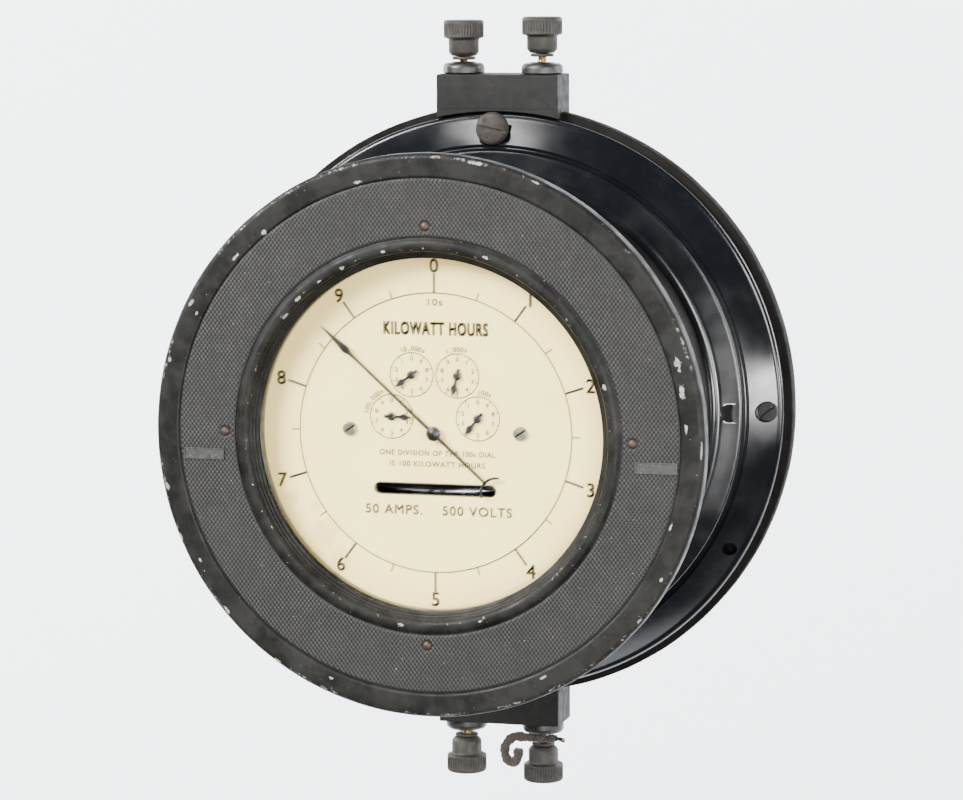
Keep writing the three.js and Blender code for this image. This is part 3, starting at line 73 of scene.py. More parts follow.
RING_FACE = box("front_ring")[0].y
RING_BACK = box("front_ring")[1].y
RING_RADIUS = box("front_ring")[1].x
RIM_INNER = RING_RADIUS - 9.8
FIELD_INNER = RING_RADIUS - 33.8
OPENING = box("glass_retaining_ring")[1].x - 7.7
GLASS_FACE = box("front_glass")[0].y
DIAL_FACE = box("dial_plate")[0].y
DRUM_RADIUS = box("cover_drum")[1].x
DRUM_FRONT = box("cover_drum")[0].y
SHOULDER_FACE = box("cover_skirt")[0].y
SKIRT_RADIUS = box("cover_skirt")[1].x
SKIRT_BACK = box("cover_skirt")[1].y
CASE_RADIUS = box("back_case")[1].x
CASE_FRONT = box("back_case")[0].y
PIN_CIRCLE = 85.0
PIN_ANGLES = (90.0, 180.0, 270.0, 0.0)
CLAMP_CIRCLE = SKIRT_RADIUS - 6.2
DISC_RADIUS = (box("rotor_disc")[1].x - box("rotor_disc")[0].x) / 2
DISC_Y = box("rotor_disc")[0].y + DISC_RADIUS
SLOT_Z = -23.0
SLOT_HALF_LENGTH = 25.3
SLOT_HALF_HEIGHT = 2.1
SUB_DIALS = {
    "hundreds": {"place": (18.1, 6.41), "hand": 231.0, "turn": 1, "label": "100s", "label_at": 75.0},
    "thousands": {"place": (9.6, 23.63), "hand": 255.6, "turn": -1, "label": "1,000s", "label_at": 92.0},
    "ten_thousands": {"place": (-9.6, 23.63), "hand": 216.7, "turn": 1, "label": "10,000s", "label_at": 88.0},
    "hundred_thousands": {
        "place": (-18.1, 6.41), "hand": -1.0, "turn": -1, "label": "100,000s", "label_at": 142.0,
    },
}
POSTS = ("top_left", "top_right", "bottom_left", "bottom_right")
COLLAR_HEIGHT = 5.0


# ---------------------------------------------------------------- properties


def length_setting(name, description, default, **limits):
    """A length setting, with its default in millimetres."""
    return FloatProperty(name=name, description=description, default=default * MM, unit="LENGTH", **limits)


def angle_setting(name, description, default):
    """An angle setting, with its default in degrees."""
    default = float(np.radians(default))
    return FloatProperty(name=name, description=description, default=default, subtype="ANGLE")


def colour_setting(name, description, default):
    """A colour setting."""
    return FloatVectorProperty(
        name=name, description=description, default=default, subtype="COLOR", size=3, min=0.0, max=1.0,
    )


class MeterRingProperties(bpy.types.PropertyGroup):
    """Sizes and colours of the front ring."""

    stipple_width: length_setting("Stipple width", "Width of a diamond of the cast field", 1.72, min=0.5 * MM)
    stipple_height: length_setting("Stipple row height", "Height of two rows of diamonds", 2.3, min=0.5 * MM)
    stipple_depth: length_setting("Stipple depth", "Depth of the grooves between diamonds", 0.46, min=0.0)
    paint: colour_setting("Ring paint", "Aged black paint of the ring", (0.0118, 0.0115, 0.0102))
    primer: colour_setting("Primer", "Pale undercoat that shows in the chips", (0.27, 0.27, 0.24))


class MeterCoverProperties(bpy.types.PropertyGroup):
    """Colours of the japanned cover, the case and the terminal blocks, and the ridges of the nuts."""

    japan: colour_setting("Japan", "Gloss black japan of the skirt", (0.0022, 0.0027, 0.0036))
    drum: colour_setting("Drum", "Duller black of the drum", (0.004, 0.0036, 0.003))
    case: colour_setting("Case", "Brown-black paint of the case", (0.0024, 0.002, 0.0016))
    block: colour_setting("Blocks", "Grey of the terminal blocks", (0.0038, 0.0037, 0.0034))
    knurls: IntProperty(
        name="Knurls", description="Upright ridges round each thumb nut", default=44, min=8, max=80,
    )


class MeterDialProperties(bpy.types.PropertyGroup):
    """Sizes and colours of the printed dial."""

    enamel: colour_setting("Enamel", "Aged cream enamel", (0.93, 0.77, 0.30))
    ink: colour_setting("Ink", "Faded printing", (0.012, 0.0095, 0.006))
    scale_radius: length_setting("Scale radius", "Radius of the printed circle", 57.1)
    numeral_radius: length_setting("Numeral radius", "Radius on which the numerals stand", 68.2)
    line_width: length_setting("Line width", "Width of the printed lines", 0.5)
    sub_radius: length_setting("Sub-dial radius", "Radius of the small printed circles", 9.0)


class MeterStageProperties(bpy.types.PropertyGroup):
    """Camera and backdrop."""

    azimuth: angle_setting("Azimuth", "Camera turned to the right of the dial axis", 14.94)
    elevation: angle_setting("Elevation", "Camera raised above the dial axis", 7.22)
    roll: angle_setting("Roll", "Camera turned about its own axis", -0.22)
    distance: length_setting("Distance", "Camera to the point it looks at", 1673.9)
    lens: FloatProperty(
        name="Lens", description="Focal length in millimetres on a 36 mm wide sensor", default=144.65,
    )
    backdrop: colour_setting("Backdrop", "Pale floor and wall", (0.80, 0.83, 0.86))


# ---------------------------------------------------------------- surfaces


def mesh_object(name, vertices, faces, smooth_angle=35.0, merge=False):
    """A mesh of points in millimetres, stored in metres at the origin, with edges over the angle sharp."""
    mesh = bpy.data.meshes.new(name)
    mesh.from_pydata((np.asarray(vertices, float) * MM).tolist(), [], [list(f) for f in faces])
    if merge:
        work = bmesh.new()
        work.from_mesh(mesh)
        bmesh.ops.remove_doubles(work, verts=work.verts, dist=2e-7)
        bmesh.ops.dissolve_degenerate(work, dist=1e-7, edges=work.edges)
        work.to_mesh(mesh)
        work.free()
    mesh.validate()
    mesh.polygons.foreach_set("use_smooth", np.ones(len(mesh.polygons), bool))
    mesh.set_sharp_from_angle(angle=np.radians(smooth_angle))
    mesh.update()
    piece = bpy.data.objects.new(name, mesh)
    bpy.context.scene.collection.objects.link(piece)
    return piece


def grid_faces(rows, columns, wrap_rows=False, wrap_columns=False):
    """Quads of a grid of points numbered row by row; a wrapped direction joins its end to its start."""
    i = np.arange(rows if wrap_rows else rows - 1)
    j = np.arange(columns if wrap_columns else columns - 1)
    i, j = (a.ravel() for a in np.meshgrid(i, j, indexing="ij"))
    down = (i + 1) % rows
    right = (j + 1) % columns
    return np.stack([i * columns + j, i * columns + right, down * columns + right, down * columns + j], 1)


def outward(points, faces):
    """The faces of a closed surface, turned to face out: the volume summed over them is then positive."""
    a, b, c, d = (points[faces[:, k]] for k in range(4))
    volume = np.einsum("ij,ij->i", a, np.cross(b, c)) + np.einsum("ij,ij->i", a, np.cross(c, d))
    return faces if volume.sum() > 0 else faces[:, ::-1]


def closed_grid(points, wrap_rows=True):
    """Vertices and outward quads of a closed grid. points[row, column] wraps along its columns."""
    rows, columns = points.shape[:2]
    flat = points.reshape(-1, 3)
    return flat, outward(flat, grid_faces(rows, columns, wrap_rows, True))


def on_circle(radius, degrees):
    """The x and z of a place on a circle round the dial axis."""
    turn = np.radians(degrees)
    return float(radius * np.cos(turn)), float(radius * np.sin(turn))


def turned_points(profile, steps, bend=None):
    """Points of [radius, y] pairs carried round the Y axis. bend(radius, y, angle) may move them."""
    pairs = np.asarray(profile, float)
    angle = np.linspace(0.0, 2.0 * np.pi, steps, endpoint=False)
    radius, turn = np.meshgrid(pairs[:, 0], angle)
    y = np.broadcast_to(pairs[:, 1], radius.shape)
    if bend:
        radius, y = bend(radius, y, turn)
    return np.stack([radius * np.cos(turn), y, radius * np.sin(turn)], -1)


def turned(name, profile, steps=256, bend=None):
    """A body of revolution about the Y axis; its profile is closed or ends on the axis."""
    on_axis = min(radius for radius, _ in profile) < 1e-6
    return mesh_object(name, *closed_grid(turned_points(profile, steps, bend)), merge=on_axis)


def upright_points(profile, steps, centre, up, bend=None):
    """Points of [radius, height] pairs carried round a vertical axis from a face; up is 1 or -1."""
    points = turned_points(profile, steps, bend)
    x, height, z = points[..., 0], points[..., 1], points[..., 2]
    return np.stack([centre[0] + x, centre[1] - z * up, centre[2] + height * up], -1)


def arc_profile(centre_r, centre_y, radius, start, end, steps):
    """Pairs on a circular arc from a start angle to an end angle in degrees."""
    angle = np.radians(np.linspace(start, end, steps + 1))
    return list(zip(centre_r + radius * np.cos(angle), centre_y + radius * np.sin(angle)))


def shifted(pairs, first, second):
    """Pairs moved by one amount for their first number and another for their second."""
    return [(a + first, b + second) for a, b in pairs]


def joined(parts):
    """Vertices and faces of several closed surfaces as one list."""
    vertices, faces, start = [], [], 0
    for points, quads in parts:
        vertices.append(np.asarray(points, float))
        faces.extend((np.asarray(q) + start).tolist() for q in quads)
        start += len(points)
    return np.concatenate(vertices), faces


def prism(outline, front, back, bevel=0.0):
    """A flat outline of [x, z] points between two depths; its front edge is drawn in by the bevel."""
    shape = np.asarray(outline, float)
    count = len(shape)
    area = np.sum(shape[:, 0] * np.roll(shape[:, 1], -1) - np.roll(shape[:, 0], -1) * shape[:, 1])
    if area < 0:
        shape = shape[::-1]
    ahead = np.roll(shape, -1, 0) - shape
    ahead /= np.maximum(np.linalg.norm(ahead, axis=1, keepdims=True), 1e-9)
    inward = np.stack([-ahead[:, 1], ahead[:, 0]], 1)
    inward = inward + np.roll(inward, 1, 0)
    inward /= np.maximum(np.linalg.norm(inward, axis=1, keepdims=True), 1e-9)
    rings = [(shape, back), (shape, front + bevel)]
    if bevel > 0:
        rings.append((shape + inward * bevel, front))
    points = np.concatenate([np.column_stack([s[:, 0], np.full(count, y), s[:, 1]]) for s, y in rings])
    sides = grid_faces(len(rings), count, False, True)
    top = (len(rings) - 1) * count
    faces = [list(f) for f in sides] + [list(range(count))[::-1], list(range(top, top + count))]
    return points, faces


def ribbon(inner, outer, front, back, centre=(0.0, 0.0), steps=180):
    """A flat round band between two radii, as a closed body."""
    angle = np.linspace(0.0, 2.0 * np.pi, steps, endpoint=False)
    loops = []
    for r, y in ((inner, back), (outer, back), (outer, front), (inner, front)):
        x, z = centre[0] + r * np.cos(angle), centre[1] + r * np.sin(angle)
        loops.append(np.stack([x, np.full_like(angle, y), z], -1))
    return closed_grid(np.stack(loops, 1))


def bar(x, z, length, width, degrees, front, back):
    """A short printed line, its middle at x, z and its length along an angle from +X."""
    turn = np.radians(degrees)
    along = np.array([np.cos(turn), np.sin(turn)]) * length / 2
    across = np.array([-np.sin(turn), np.cos(turn)]) * width / 2
    corners = [(x, z) + s * along + t * across for s, t in ((-1, -1), (1, -1), (1, 1), (-1, 1))]
    return prism(corners, front, back)


def slotted_head(face, back, radius, dome, slot_half, slot_depth, slot_degrees, centre, crown=0.0):
    """A round screw head cut by a slot.

    Lines run across the head parallel to the slot, each as long as the chord there. The height is the face,
    rounded off over the dome width at the rim and raised by a crown that falls with the square of the radius;
    between the slot's sides it drops by the slot's depth. The loop of each line closes through the flat back.
    """
    limit = np.arcsin(min(slot_half / radius, 0.99))
    side = radius * np.sin(np.linspace(np.pi / 2, limit, 9))
    across = np.concatenate([-side, [-slot_half, slot_half], side[::-1]])
    sunk = np.concatenate([np.zeros(9), [1.0, 1.0], np.zeros(9)])
    share = np.sin(np.linspace(-np.pi / 2, np.pi / 2, 17))
    u, v = np.meshgrid(across, share, indexing="ij")
    w = v * np.sqrt(np.maximum(radius**2 - u**2, 0.0))
    reach = np.sqrt(u**2 + w**2)
    over = np.clip((reach - (radius - dome)) / max(dome, 1e-6), 0.0, 1.0)
    rounded = dome * (1.0 - np.sqrt(1.0 - over**2))
    height = face + rounded + crown * (reach / radius) ** 2
    height = np.where(sunk[:, None] > 0, np.maximum(height, face + slot_depth), height)
    top = np.stack([w, height, u], -1)
    bottom = np.stack([w[:, ::-1], np.full_like(w, back), u], -1)
    loop = np.concatenate([top, bottom], 1)
    turn = np.radians(slot_degrees)
    x = loop[..., 0] * np.cos(turn) - loop[..., 2] * np.sin(turn) + centre[0]
    z = loop[..., 0] * np.sin(turn) + loop[..., 2] * np.cos(turn) + centre[1]
    points = np.stack([x, loop[..., 1], z], -1)
    return closed_grid(points, wrap_rows=False)


def cut_away(piece, cutters):
    """Takes closed cutter bodies, given as vertices and faces, out of a piece and remakes its mesh."""
    tools = [mesh_object("cutter", *cutter) for cutter in cutters]
    for tool in tools:
        cut = piece.modifiers.new("cut", "BOOLEAN")
        cut.operation = "DIFFERENCE"
        cut.object = tool
    bpy.context.view_layer.update()
    shaped = bpy.data.meshes.new_from_object(piece.evaluated_get(bpy.context.evaluated_depsgraph_get()))
    piece.modifiers.clear()
    piece.data = shaped
    shaped.set_sharp_from_angle(angle=np.radians(35.0))
    for tool in tools:
        bpy.data.objects.remove(tool)


def shank(profile, centre, steps=32):
    """Vertices and faces of a solid turned pin: [radius, y] pairs that start and end on the axis."""
    points = turned_points(profile, steps) + np.array([centre[0], 0.0, centre[1]])
    return closed_grid(points)


def tube(route, radius, sides, bend=None):
    """A closed tube along a route of points: circles square to it, carried along without twisting."""
    path = np.asarray(route, float)
    ahead = np.gradient(path, axis=0)
    ahead /= np.linalg.norm(ahead, axis=1, keepdims=True)
    side = np.zeros_like(path)
    side[0] = np.cross(ahead[0], (0.3, 0.2, 1.0))
    for k in range(len(path)):
        before = side[k - 1] if k else side[0]
        flat = before - ahead[k] * np.dot(before, ahead[k])
        side[k] = flat / np.linalg.norm(flat)
    other = np.cross(ahead, side)
    angle = np.linspace(0.0, 2.0 * np.pi, sides, endpoint=False)
    along = np.concatenate([[0.0], np.cumsum(np.linalg.norm(np.diff(path, axis=0), axis=1))])
    size = np.full((len(path), sides), radius)
    if bend:
        size = bend(size, along[:, None], angle[None, :])
    across = np.cos(angle)[:, None] * side[:, None] + np.sin(angle)[:, None] * other[:, None]
    points = path[:, None] + size[..., None] * across
    ends = np.concatenate([np.repeat(path[:1, None], sides, 1), points, np.repeat(path[-1:, None], sides, 1)])
    return closed_grid(ends, wrap_rows=False)


def through(points, steps):
    """A smooth route through points: Catmull-Rom pieces, each a cubic that leaves and arrives along the
    line joining the neighbours on either side."""
    p = np.asarray(points, float)
    p = np.concatenate([[2 * p[0] - p[1]], p, [2 * p[-1] - p[-2]]])
    t = np.linspace(0.0, 1.0, steps, endpoint=False)[:, None]
    pieces = []
    for a, b, c, d in zip(p, p[1:], p[2:], p[3:]):
        square = 2 * a - 5 * b + 4 * c - d
        cube = 3 * b - a - 3 * c + d
        pieces.append(0.5 * (2 * b + (c - a) * t + square * t**2 + cube * t**3))
    return np.concatenate(pieces + [p[-2:-1]])


def lettering(text, x, z, height, front, back, width=None, degrees=0.0, weight=0.0):
    """Vertices and faces of printed letters centred at x, z, as thin closed bodies facing -Y. They are struck
    four times, a weight apart in millimetres each way, to make the strokes bolder."""
    curve = bpy.data.curves.new("letters", "FONT")
    curve.body = text
    curve.size = 1.0
    curve.resolution_u = 3
    curve.space_character = 1.15
    curve.extrude = 0.5
    holder = bpy.data.objects.new("letters", curve)
    bpy.context.scene.collection.objects.link(holder)
    bpy.context.view_layer.update()
    mesh = holder.evaluated_get(bpy.context.evaluated_depsgraph_get()).to_mesh()
    flat = np.zeros(len(mesh.vertices) * 3)
    mesh.vertices.foreach_get("co", flat)
    points = flat.reshape(-1, 3)
    faces = [list(p.vertices) for p in mesh.polygons]
    low, high = points.min(0), points.max(0)
    points = points - (low + high) / 2
    scale = height / (high[1] - low[1])
    stretch = width / (high[0] - low[0]) if width else scale
    turn = np.radians(degrees)
    u, v = points[:, 0] * stretch, points[:, 1] * scale
    strikes = []
    for du, dv in ((-weight, -weight), (weight, -weight), (-weight, weight), (weight, weight)):
        across = x + (u + du) * np.cos(turn) - (v + dv) * np.sin(turn)
        upward = z + (u + du) * np.sin(turn) + (v + dv) * np.cos(turn)
        strikes.append((np.stack([across, np.where(points[:, 2] > 0, front, back), upward], 1), faces))
    bpy.data.objects.remove(holder)
    bpy.data.curves.remove(curve)
    return joined(strikes)


# ---------------------------------------------------------------- finishes


def shade(colour, factor):
    """A colour made darker or lighter."""
    return [share * factor for share in colour]


class Finish:
    """A node material under construction, with a Principled shader at its end."""

    def __init__(self, name):
        self.material = bpy.data.materials.new(name)
        self.material.use_nodes = True
        self.tree = self.material.node_tree
        self.tree.nodes.clear()
        self.shader = self.add("ShaderNodeBsdfPrincipled")
        output = self.add("ShaderNodeOutputMaterial")
        self.tree.links.new(self.shader.outputs[0], output.inputs[0])
        self.place = self.add("ShaderNodeTexCoord").outputs["Object"]

    def add(self, kind, inputs=None, **settings):
        node = self.tree.nodes.new(kind)
        for key, value in settings.items():
            setattr(node, key, value)
        for key, value in (inputs or {}).items():
            self.put(node.inputs[key], value)
        return node

    def put(self, socket, value):
        """Links a socket to another one's output, or gives it a value."""
        if isinstance(value, bpy.types.NodeSocket):
            self.tree.links.new(value, socket)
        else:
            socket.default_value = value

    def set(self, **values):
        """Sets or links inputs of the shader; a name's underscores stand for spaces."""
        for key, value in values.items():
            self.put(self.shader.inputs[key.replace("_", " ")], value)

    def stretched(self, x, y, z):
        """The object's own places, scaled apart along each axis."""
        return self.add("ShaderNodeMapping", {"Vector": self.place, "Scale": (x, y, z)}).outputs[0]

    def noise(self, size, detail=3.0, rough=0.55, vector=None):
        """Cloudy noise whose features are about so many millimetres across."""
        inputs = {
            "Vector": vector or self.place, "Scale": 1.0 / (size * MM), "Detail": detail, "Roughness": rough,
        }
        return self.add("ShaderNodeTexNoise", inputs).outputs[0]

    def step(self, value, low, high, to_low=0.0, to_high=1.0):
        """Value mapped from low..high to another range, held at its ends."""
        inputs = {"Value": value, "From Min": low, "From Max": high, "To Min": to_low, "To Max": to_high}
        return self.add("ShaderNodeMapRange", inputs, interpolation_type="SMOOTHSTEP").outputs[0]

    def clouds(self, size, low, high, to_low=0.0, to_high=1.0, detail=3.0, rough=0.55):
        """Noise mapped from low..high to another range."""
        return self.step(self.noise(size, detail, rough), low, high, to_low, to_high)

    def math(self, operation, a, b=0.0):
        return self.add("ShaderNodeMath", {0: a, 1: b}, operation=operation).outputs[0]

    def blend(self, share, first, second):
        """A colour between two, by a share."""
        inputs = {0: share}
        for index, colour in ((6, first), (7, second)):
            inputs[index] = colour if isinstance(colour, bpy.types.NodeSocket) else (*colour[:3], 1.0)
        return self.add("ShaderNodeMix", inputs, data_type="RGBA").outputs[2]

    def bump(self, height, distance, strength=1.0, normal=None):
        """Surface relief; distance is the height of a full step in millimetres."""
        inputs = {"Height": height, "Distance": distance * MM, "Strength": strength}
        if normal:
            inputs["Normal"] = normal
        return self.add("ShaderNodeBump", inputs).outputs[0]

    def axis_distance(self):
        """Distance from the dial axis, in millimetres."""
        flat = self.add("ShaderNodeVectorMath", {0: self.place, 1: (1.0, 0.0, 1.0)}, operation="MULTIPLY")
        length = self.add("ShaderNodeVectorMath", {0: flat.outputs[0]}, operation="LENGTH")
        return self.math("DIVIDE", length.outputs["Value"], MM)

    def flake(self, radius, degrees, y, wide, long):
        """1 inside a ragged flake at a radius and angle, so wide across the circle and so long round it."""
        turn = np.radians(degrees)
        point = (radius * np.cos(turn) * MM, y * MM, radius * np.sin(turn) * MM)
        inputs = {
            "Vector": self.place, "Location": point, "Rotation": (0.0, -turn, 0.0),
            "Scale": (wide * MM, 4.0 * MM, long * MM),
        }
        local = self.add("ShaderNodeMapping", inputs, vector_type="TEXTURE").outputs[0]
        gap = self.add("ShaderNodeVectorMath", {0: local}, operation="LENGTH").outputs["Value"]
        ragged = self.math("ADD", gap, self.math("MULTIPLY", self.noise(1.7, 5.0, 0.7), 2.6))
        return self.step(ragged, 2.0, 2.12, 1.0, 0.0)

    def largest(self, shares):
        """The largest of several shares."""
        total = shares[0]
        for share in shares[1:]:
            total = self.math("MAXIMUM", total, share)
        return total


# Flakes missing from the ring's paint: radius, angle in degrees, depth, width and length round the circle.
RING_CHIPS = (
    (108.4, 17.6, -136.5, 1.5, 3.4), (107.3, 11.6, -136.5, 1.3, 3.6), (107.0, 3.6, -136.5, 0.8, 2.6),
    (113.0, -1.0, -135.6, 0.5, 5.0), (77.0, 17.0, -136.4, 0.8, 1.5), (77.4, 71.0, -136.5, 0.7, 1.4),
    (76.6, 103.0, -136.4, 0.6, 1.2), (76.0, 117.0, -136.1, 0.7, 1.2), (76.2, 125.5, -136.2, 0.6, 1.5),
    (76.4, 134.0, -136.2, 0.8, 2.4), (75.6, 141.0, -135.6, 0.6, 1.8), (105.6, 129.5, -136.4, 1.3, 1.5),
    (106.8, 138.0, -136.5, 0.7, 3.0), (111.6, 152.0, -136.4, 0.8, 1.8), (107.6, 153.5, -136.5, 0.6, 1.2),
    (111.9, 165.0, -136.3, 0.7, 1.4), (106.0, 105.0, -136.4, 0.7, 2.4), (112.6, 79.0, -136.0, 0.8, 4.2),
    (112.9, 66.0, -135.8, 0.6, 2.2), (112.4, 192.0, -136.0, 0.9, 1.6), (113.4, 203.0, -135.0, 0.8, 2.2),
    (110.0, 209.0, -136.5, 0.6, 1.0), (112.4, 221.0, -136.0, 0.9, 2.0), (113.2, 236.0, -135.2, 0.6, 2.4),
    (107.9, 248.0, -136.5, 0.6, 1.2), (77.4, 262.0, -136.5, 0.7, 1.4), (77.0, 287.0, -136.4, 0.6, 1.3),
    (107.2, 297.0, -136.5, 0.6, 2.0), (110.8, 331.0, -136.5, 0.7, 1.2), (105.8, 342.0, -136.4, 0.5, 2.2),
)


def ring_paint():
    """Aged satin black: dark clouds, dust, and pale primer where the paint is chipped or rubbed."""
    settings = bpy.context.scene.meter_ring
    f = Finish("ring_paint")
    clouds = f.clouds(13.0, 0.38, 0.62, detail=5.0, rough=0.65)
    tone = f.blend(clouds, shade(settings.paint, 0.4), settings.paint)
    dust = f.clouds(2.2, 0.55, 0.75, 0.0, 0.6, detail=5.0, rough=0.7)
    tone = f.blend(dust, tone, shade(settings.paint, 1.6))
    radius = f.axis_distance()
    corner = f.step(f.math("ABSOLUTE", f.math("SUBTRACT", radius, RING_RADIUS - 1.3)), 0.1, 0.75, 1.0, 0.0)
    stretch = f.clouds(34.0, 0.47, 0.6, detail=2.0)
    broken = f.clouds(2.6, 0.53, 0.6, detail=5.0, rough=0.75)
    rubbed = f.math("MULTIPLY", f.math("MULTIPLY", corner, stretch), broken)
    inner = f.step(f.math("ABSOLUTE", f.math("SUBTRACT", radius, OPENING + 4.2)), 0.1, 0.8, 1.0, 0.0)
    nicks = f.math("MULTIPLY", inner, f.clouds(1.9, 0.62, 0.66, detail=4.0, rough=0.7))
    specks = f.clouds(1.2, 0.755, 0.775, detail=2.0)
    chips = f.largest([f.flake(*chip) for chip in RING_CHIPS])
    bare = f.largest([rubbed, nicks, specks, chips])
    primer = f.blend(f.clouds(1.0, 0.35, 0.65), shade(settings.primer, 0.55), settings.primer)
    f.set(Base_Color=f.blend(bare, tone, primer), Specular_IOR_Level=0.12)
    f.set(Roughness=f.clouds(7.0, 0.35, 0.65, 0.4, 0.6, detail=4.0))
    grain = f.bump(f.noise(0.5, 3.0), 0.05)
    f.set(Normal=f.bump(bare, -0.12, 0.8, grain))
    return f.material


def field_paint():
    """The ring's paint over the cast field, darker in the grooves between the diamonds as painted shade."""
    settings = bpy.context.scene.meter_ring
    f = Finish("field_paint")
    low = f.add("ShaderNodeAttribute", attribute_name="groove").outputs["Fac"]
    tone = f.blend(f.clouds(11.0, 0.35, 0.7, detail=4.0), settings.paint, shade(settings.paint, 1.35))
    # Painted shade: the grooves between the diamonds are darkened towards 0.4 of the paint.
    tone = f.blend(f.step(low, 0.25, 0.9), tone, shade(settings.paint, 0.4))
    rust = f.clouds(6.0, 0.66, 0.78, 0.0, 0.5, detail=5.0, rough=0.7)
    tone = f.blend(rust, tone, (0.016, 0.011, 0.008))
    specks = f.clouds(1.1, 0.765, 0.785, detail=2.0)
    f.set(Base_Color=f.blend(specks, tone, settings.primer), Specular_IOR_Level=0.25)
    f.set(Roughness=f.clouds(4.0, 0.3, 0.7, 0.5, 0.66))
    f.set(Normal=f.bump(f.noise(0.3, 2.0), 0.04))
    return f.material


def japan():
    """Baked gloss black: nearly mirror smooth, with faint brush marks, dust nibs, scuffs and thin haze."""
    settings = bpy.context.scene.meter_cover
    f = Finish("japan")
    haze = f.clouds(14.0, 0.52, 0.75, detail=5.0, rough=0.7)
    scuff = f.step(f.noise(1.2, 4.0, 0.7, f.stretched(1.0, 1.0, 0.18)), 0.66, 0.74, 0.0, 0.5)
    dull = f.math("MAXIMUM", f.math("MULTIPLY", haze, 0.35), scuff)
    f.set(Base_Color=f.blend(dull, settings.japan, (0.010, 0.0105, 0.011)), Specular_IOR_Level=0.5)
    f.set(Roughness=f.clouds(22.0, 0.3, 0.75, 0.14, 0.27, detail=4.0))
    streaks = f.noise(1.0, 3.0, 0.6, f.stretched(1.0, 1.0, 0.06))
    nibs = f.clouds(0.8, 0.72, 0.8, detail=1.0)
    relief = f.math("ADD", f.math("MULTIPLY", streaks, 0.5), f.math("MULTIPLY", nibs, 0.1))
    f.set(Normal=f.bump(relief, 0.003))
    return f.material


def drum_paint():
    """Old black of the drum: half gloss, browned, with rust specks and scrapes near the ring."""
    settings = bpy.context.scene.meter_cover
    f = Finish("drum_paint")
    tone = f.blend(f.clouds(12.0, 0.4, 0.75, detail=5.0), settings.drum, (0.008, 0.007, 0.0055))
    depth = f.add("ShaderNodeSeparateXYZ", {0: f.place}).outputs[1]
    close = f.step(depth, (DRUM_FRONT + 30.0) * MM, DRUM_FRONT * MM)
    rust = f.math("MULTIPLY", f.clouds(2.4, 0.6, 0.68, detail=5.0, rough=0.7), f.math("ADD", close, 0.15))
    f.set(Base_Color=f.blend(rust, tone, (0.034, 0.018, 0.011)))
    f.set(Roughness=f.clouds(7.0, 0.3, 0.7, 0.3, 0.46, detail=4.0), Specular_IOR_Level=0.14)
    f.set(Normal=f.bump(f.noise(0.7, 3.0), 0.02))
    return f.material


def case_paint():
    """Dull brown-black on the case: uneven, slightly pitted and rubbed along its edge."""
    settings = bpy.context.scene.meter_cover
    f = Finish("case_paint")
    tone = f.blend(f.clouds(10.0, 0.35, 0.7, detail=5.0), settings.case, shade(settings.case, 2.0))
    rub = f.clouds(3.0, 0.66, 0.74, 0.0, 0.6, detail=4.0)
    f.set(Base_Color=f.blend(rub, tone, (0.009, 0.007, 0.0055)), Specular_IOR_Level=0.08)
    f.set(Roughness=f.clouds(5.0, 0.3, 0.7, 0.6, 0.8))
    f.set(Normal=f.bump(f.noise(1.6, 4.0), 0.12))
    return f.material


def block_paint():
    """Slate-like grey of the terminal blocks: fine mottling, paler specks, brown grime."""
    settings = bpy.context.scene.meter_cover
    f = Finish("block_paint")
    mottle = f.clouds(3.0, 0.35, 0.7, detail=5.0, rough=0.7)
    tone = f.blend(mottle, settings.block, shade(settings.block, 1.3))
    overlay = f.clouds(9.0, 0.55, 0.75, 0.0, 0.6, detail=4.0)
    tone = f.blend(overlay, tone, (0.010, 0.0085, 0.0065))
    specks = f.clouds(0.9, 0.7, 0.76, detail=3.0)
    f.set(Base_Color=f.blend(specks, tone, (0.03, 0.028, 0.024)), Specular_IOR_Level=0.2)
    f.set(Roughness=f.clouds(4.0, 0.3, 0.7, 0.55, 0.72))
    f.set(Normal=f.bump(f.noise(0.5, 3.0), 0.05))
    return f.material


def plain_metal(name, colour, second, roughness, size, metallic, relief, dirt):
    """A metal or paint whose colour drifts between two tones, with dirt over it and fine relief."""
    f = Finish(name)
    tone = f.blend(f.clouds(size, 0.35, 0.7, detail=5.0, rough=0.65), colour, second)
    if dirt:
        tone = f.blend(f.clouds(size * 0.6, 0.58, 0.7, 0.0, 0.85, detail=5.0, rough=0.7), tone, dirt)
    f.set(Base_Color=tone, Metallic=metallic)
    f.set(Roughness=f.clouds(size * 1.5, 0.3, 0.7, roughness * 0.85, roughness * 1.2))
    f.set(Normal=f.bump(f.noise(size * 0.2, 3.0), relief))
    return f.material


def disc_aluminium():
    """Bright metal with the fine rings that a lathe leaves round the upright axis of the disc."""
    f = Finish("disc_aluminium")
    metal = (0.42, 0.42, 0.43)
    pitch = 0.35
    roughness = 0.34
    level = f.add("ShaderNodeVectorMath", {0: f.place, 1: (1.0, 1.0, 0.0)}, operation="MULTIPLY").outputs[0]
    axis = (0.0, DISC_Y * MM, 0.0)
    level = f.add("ShaderNodeVectorMath", {0: level, 1: axis}, operation="SUBTRACT").outputs[0]
    radius = f.add("ShaderNodeVectorMath", {0: level}, operation="LENGTH").outputs["Value"]
    inputs = {"W": f.math("DIVIDE", radius, pitch * MM), "Scale": 1.0}
    rings = f.add("ShaderNodeTexNoise", inputs, noise_dimensions="1D").outputs[0]
    f.set(Base_Color=f.blend(f.noise(6.0), metal, shade(metal, 0.82)), Metallic=1.0)
    f.set(Roughness=f.step(rings, 0.3, 0.7, roughness * 0.8, roughness * 1.3))
    f.set(Normal=f.bump(rings, 0.01))
    return f.material


